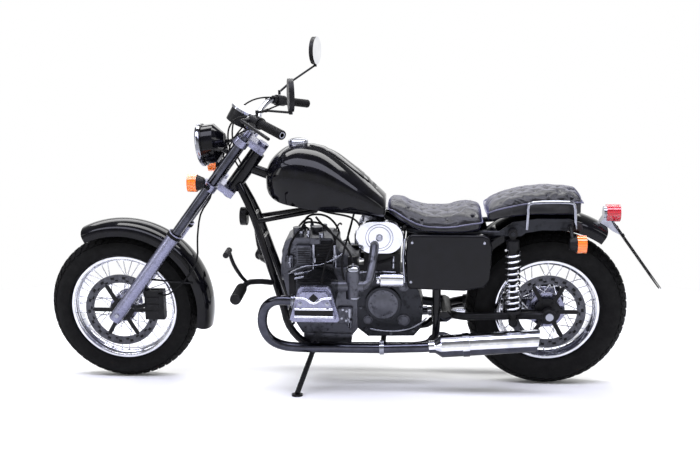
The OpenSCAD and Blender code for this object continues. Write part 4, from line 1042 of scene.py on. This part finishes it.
peg_bm = bmesh.new()
for s in BOTH:
    a, b = both((1172, 222, 452), s), both((1176, 342, 446), s)
    way = (b - a).normalized()
    for i in range(9):
        p = a + way * (8 + 12 * i)
        turned(peg_bm, p, p + way, [(18, 0), (21.2, 0.6), (21.2, 6.4), (18, 7), (18, 0)], sides=28)
finish_piece("peg_rubbers", peg_bm, RUBBER, "body", smooth=40)

cover_bm = bmesh.new()
for s in BOTH:
    for x, z in ((532, 460), (528, 616), (256, 616)):
        p = Vector((x, s * 149.4, z))
        rod(cover_bm, p, p + ACROSS * s * 2.6, 6, 5, 20)
    rod(cover_bm, (556, s * 134, 452), (563, s * 134, 556), 5, sides=20)
    rod(cover_bm, (563, s * 134, 556), (555, s * 134, 628), 5, sides=20)
finish_piece("side_cover_trim", cover_bm, CHROME, "body", smooth=38, bevel=0.6)

cables = []
for s, ends in ((1, [(1050, 297, 1100), (1120, 240, 1118), (1200, 150, 1090), (1236, 84, 1010),
                     (1222, 60, 930), (1190, 46, 872)]),
                (1, [(1058, 292, 1086), (1140, 216, 1060), (1226, 130, 1000), (1262, 70, 930),
                     (1240, 40, 880)]),
                (-1, [(1050, 297, 1100), (1130, 236, 1128), (1214, 140, 1110), (1250, 70, 1020),
                      (1232, 44, 930), (1196, 30, 872)]),
                (-1, [(1058, 292, 1086), (1150, 210, 1064), (1236, 120, 1000), (1268, 60, 920),
                      (1246, 30, 880)])):
    cables.append([both(p, s) for p in ends])
pipes("bar_cables", cables, 3.2, RUBBER, "steering")

# ---------- engine dressing ----------

split_finish("air_cleaner", "body", [BRIGHT_CHROME, SATIN],
             lambda p, n: p.z < 557 or (abs(p.y) < 82 and p.z < 590), 5.0, 4)
rounded("starter_motor", BRIGHT_CHROME, "body", 3.0, segments=3)
for s, side in ((1, "left"), (-1, "right")):
    bm = bmesh.new()
    for centre, size in (((946, 90, 548), (62, 26, 78)), ((900, 92, 604), (40, 30, 26)),
                         ((806, 86, 470), (54, 22, 60)), ((790, 88, 300), (60, 20, 70)),
                         ((948, 88, 330), (60, 20, 96)), ((1004, 70, 520), (34, 60, 50))):
        block(bm, both(centre, s), size)
    finish_piece("engine_covers_" + side, bm, CAST, "body", smooth=32, bevel=5,
                 segments=3)
    bm = bmesh.new()
    for centre, size in (((868, 88, 556), (66, 20, 88)), ((760, 84, 520), (34, 16, 40)),
                         ((996, 84, 420), (26, 12, 90)), ((700, 84, 500), (70, 30, 24)),
                         ((610, 92, 516), (44, 16, 50))):
        block(bm, both(centre, s), size)
    for i in range(7):
        block(bm, both((868, 101, 522 + 12 * i), s), (60, 8, 4))
        block(bm, both((946, 105, 520 + 9 * i), s), (50, 5, 3))
    finish_piece("engine_shadows_" + side, bm, SATIN, "body", smooth=32, bevel=1.5)
    bm = bmesh.new()
    for a, b, r in (((908, 100, 470), (908, 100, 596), 6), ((826, 98, 500), (826, 98, 590), 7),
                    ((985, 96, 470), (890, 104, 492), 5), ((985, 96, 452), (890, 104, 474), 5),
                    ((772, 92, 250), (772, 92, 330), 8), ((600, 100, 500), (600, 100, 548), 7),
                    ((960, 40, 610), (960, 40, 632), 9), ((930, 66, 608), (930, 66, 640), 7),
                    ((880, 66, 608), (880, 66, 630), 11), ((1000, 100, 500), (1000, 100, 540), 6)):
        rod(bm, both(a, s), both(b, s), r, sides=20)
        rod(bm, both(Vector(a).lerp(Vector(b), 0.4), s), both(Vector(a).lerp(Vector(b), 0.55), s),
            r + 3, sides=6)
    for i in range(26):
        x, z = random.uniform(770, 1000), random.uniform(250, 590)
        if abs(x - 885) < 82 and abs(z - 425) < 82:
            continue
        p = both((x, 99, z), s)
        rod(bm, p - ACROSS * s * 20, p, 5.5, sides=6)
    finish_piece("engine_fittings_" + side, bm, CHROME, "body", smooth=30, bevel=0.7)
    hoses = [[(960, 40, 630), (958, 50, 668), (910, 66, 676), (850, 70, 660), (820, 80, 600),
              (826, 98, 588)],
             [(930, 66, 640), (934, 70, 662), (980, 84, 640), (1016, 92, 560), (1000, 100, 520)],
             [(745, 262, 556), (752, 240, 600), (800, 190, 640), (860, 120, 660), (900, 60, 690)],
             [(760, 262, 440), (790, 220, 500), (800, 150, 560), (780, 100, 600),
              (760, 60, 680)],
             [(700, 98, 500), (690, 108, 520), (640, 112, 520), (600, 108, 545)]]
    pipes("engine_hoses_" + side, [[both(p, s) for p in line] for line in hoses], 4.2, RUBBER,
          "body")
    wires = [[(1008, 92, 470), (960, 108, 510), (900, 112, 505), (850, 108, 520), (790, 100, 560)],
             [(780, 96, 470), (720, 104, 486), (660, 104, 490), (590, 112, 486)],
             [(690, 100, 250), (600, 106, 232), (520, 98, 240), (470, 104, 300)]]
    pipes("engine_pipes_" + side, [[both(p, s) for p in line] for line in wires], 3.4, CHROME,
          "body")
    bm = bmesh.new()
    for x, z, r in ((560, 280, 24), (700, 280, 18), (560, 420, 20)):
        c = both((x, 78, z), s)
        turned(bm, c, c + ACROSS * s, [(0, 9), (r - 6, 9), (r - 4, 6), (r, 6), (r, -4), (0, -4),
                                      (0, 9)], sides=40)
    finish_piece("gearbox_caps_" + side, bm, CAST, "body", smooth=35, bevel=0.8)

backing_bm = bmesh.new()
PLATE_TOP, PLATE_WAY = Vector((-249, 0, 660)), Vector((-172, 0, -236)).normalized()
plate_out = Vector((PLATE_WAY.z, 0, -PLATE_WAY.x))
mid = PLATE_TOP + PLATE_WAY * 145 - plate_out * (-4.5 if plate_out.x > 0 else 4.5)
plate_turn = Matrix((PLATE_WAY, ACROSS, PLATE_WAY.cross(ACROSS))).transposed().to_4x4()
block(backing_bm, mid, (284, 184, 5), plate_turn)
for d in (-60, 60):
    p = PLATE_TOP + PLATE_WAY * 40 + ACROSS * d
    rod(backing_bm, p - plate_out * 6, p + plate_out * 6, 6, sides=20)
finish_piece("plate_backing", backing_bm, SATIN, "body", smooth=32, bevel=1.5)

# Ribs on the calipers' outer faces, and two bolts above the front one's
CALIPER_FACE = 82.5
for name, body_name, mid_x, mid_z, size, step in (
        ("front_caliper_ribs", "steering", 1562, 328.7, (56.16, 5, 12), 28.8),
        ("rear_caliper_ribs", "body", 128, 336.8, (50, 5, 7), 17)):
    bm = bmesh.new()
    for i in (-1, 0, 1):
        block(bm, (mid_x, CALIPER_FACE, mid_z + i * step), size)
    if name == "front_caliper_ribs":
        for x in (mid_x - size[0] / 2, mid_x + size[0] / 2):
            rod(bm, (x, CALIPER_FACE - 2.5, mid_z + 45.6),
                (x, CALIPER_FACE + 3.5, mid_z + 45.6), 5, sides=6)
    finish_piece(name, bm, SATIN, body_name, bevel=1)
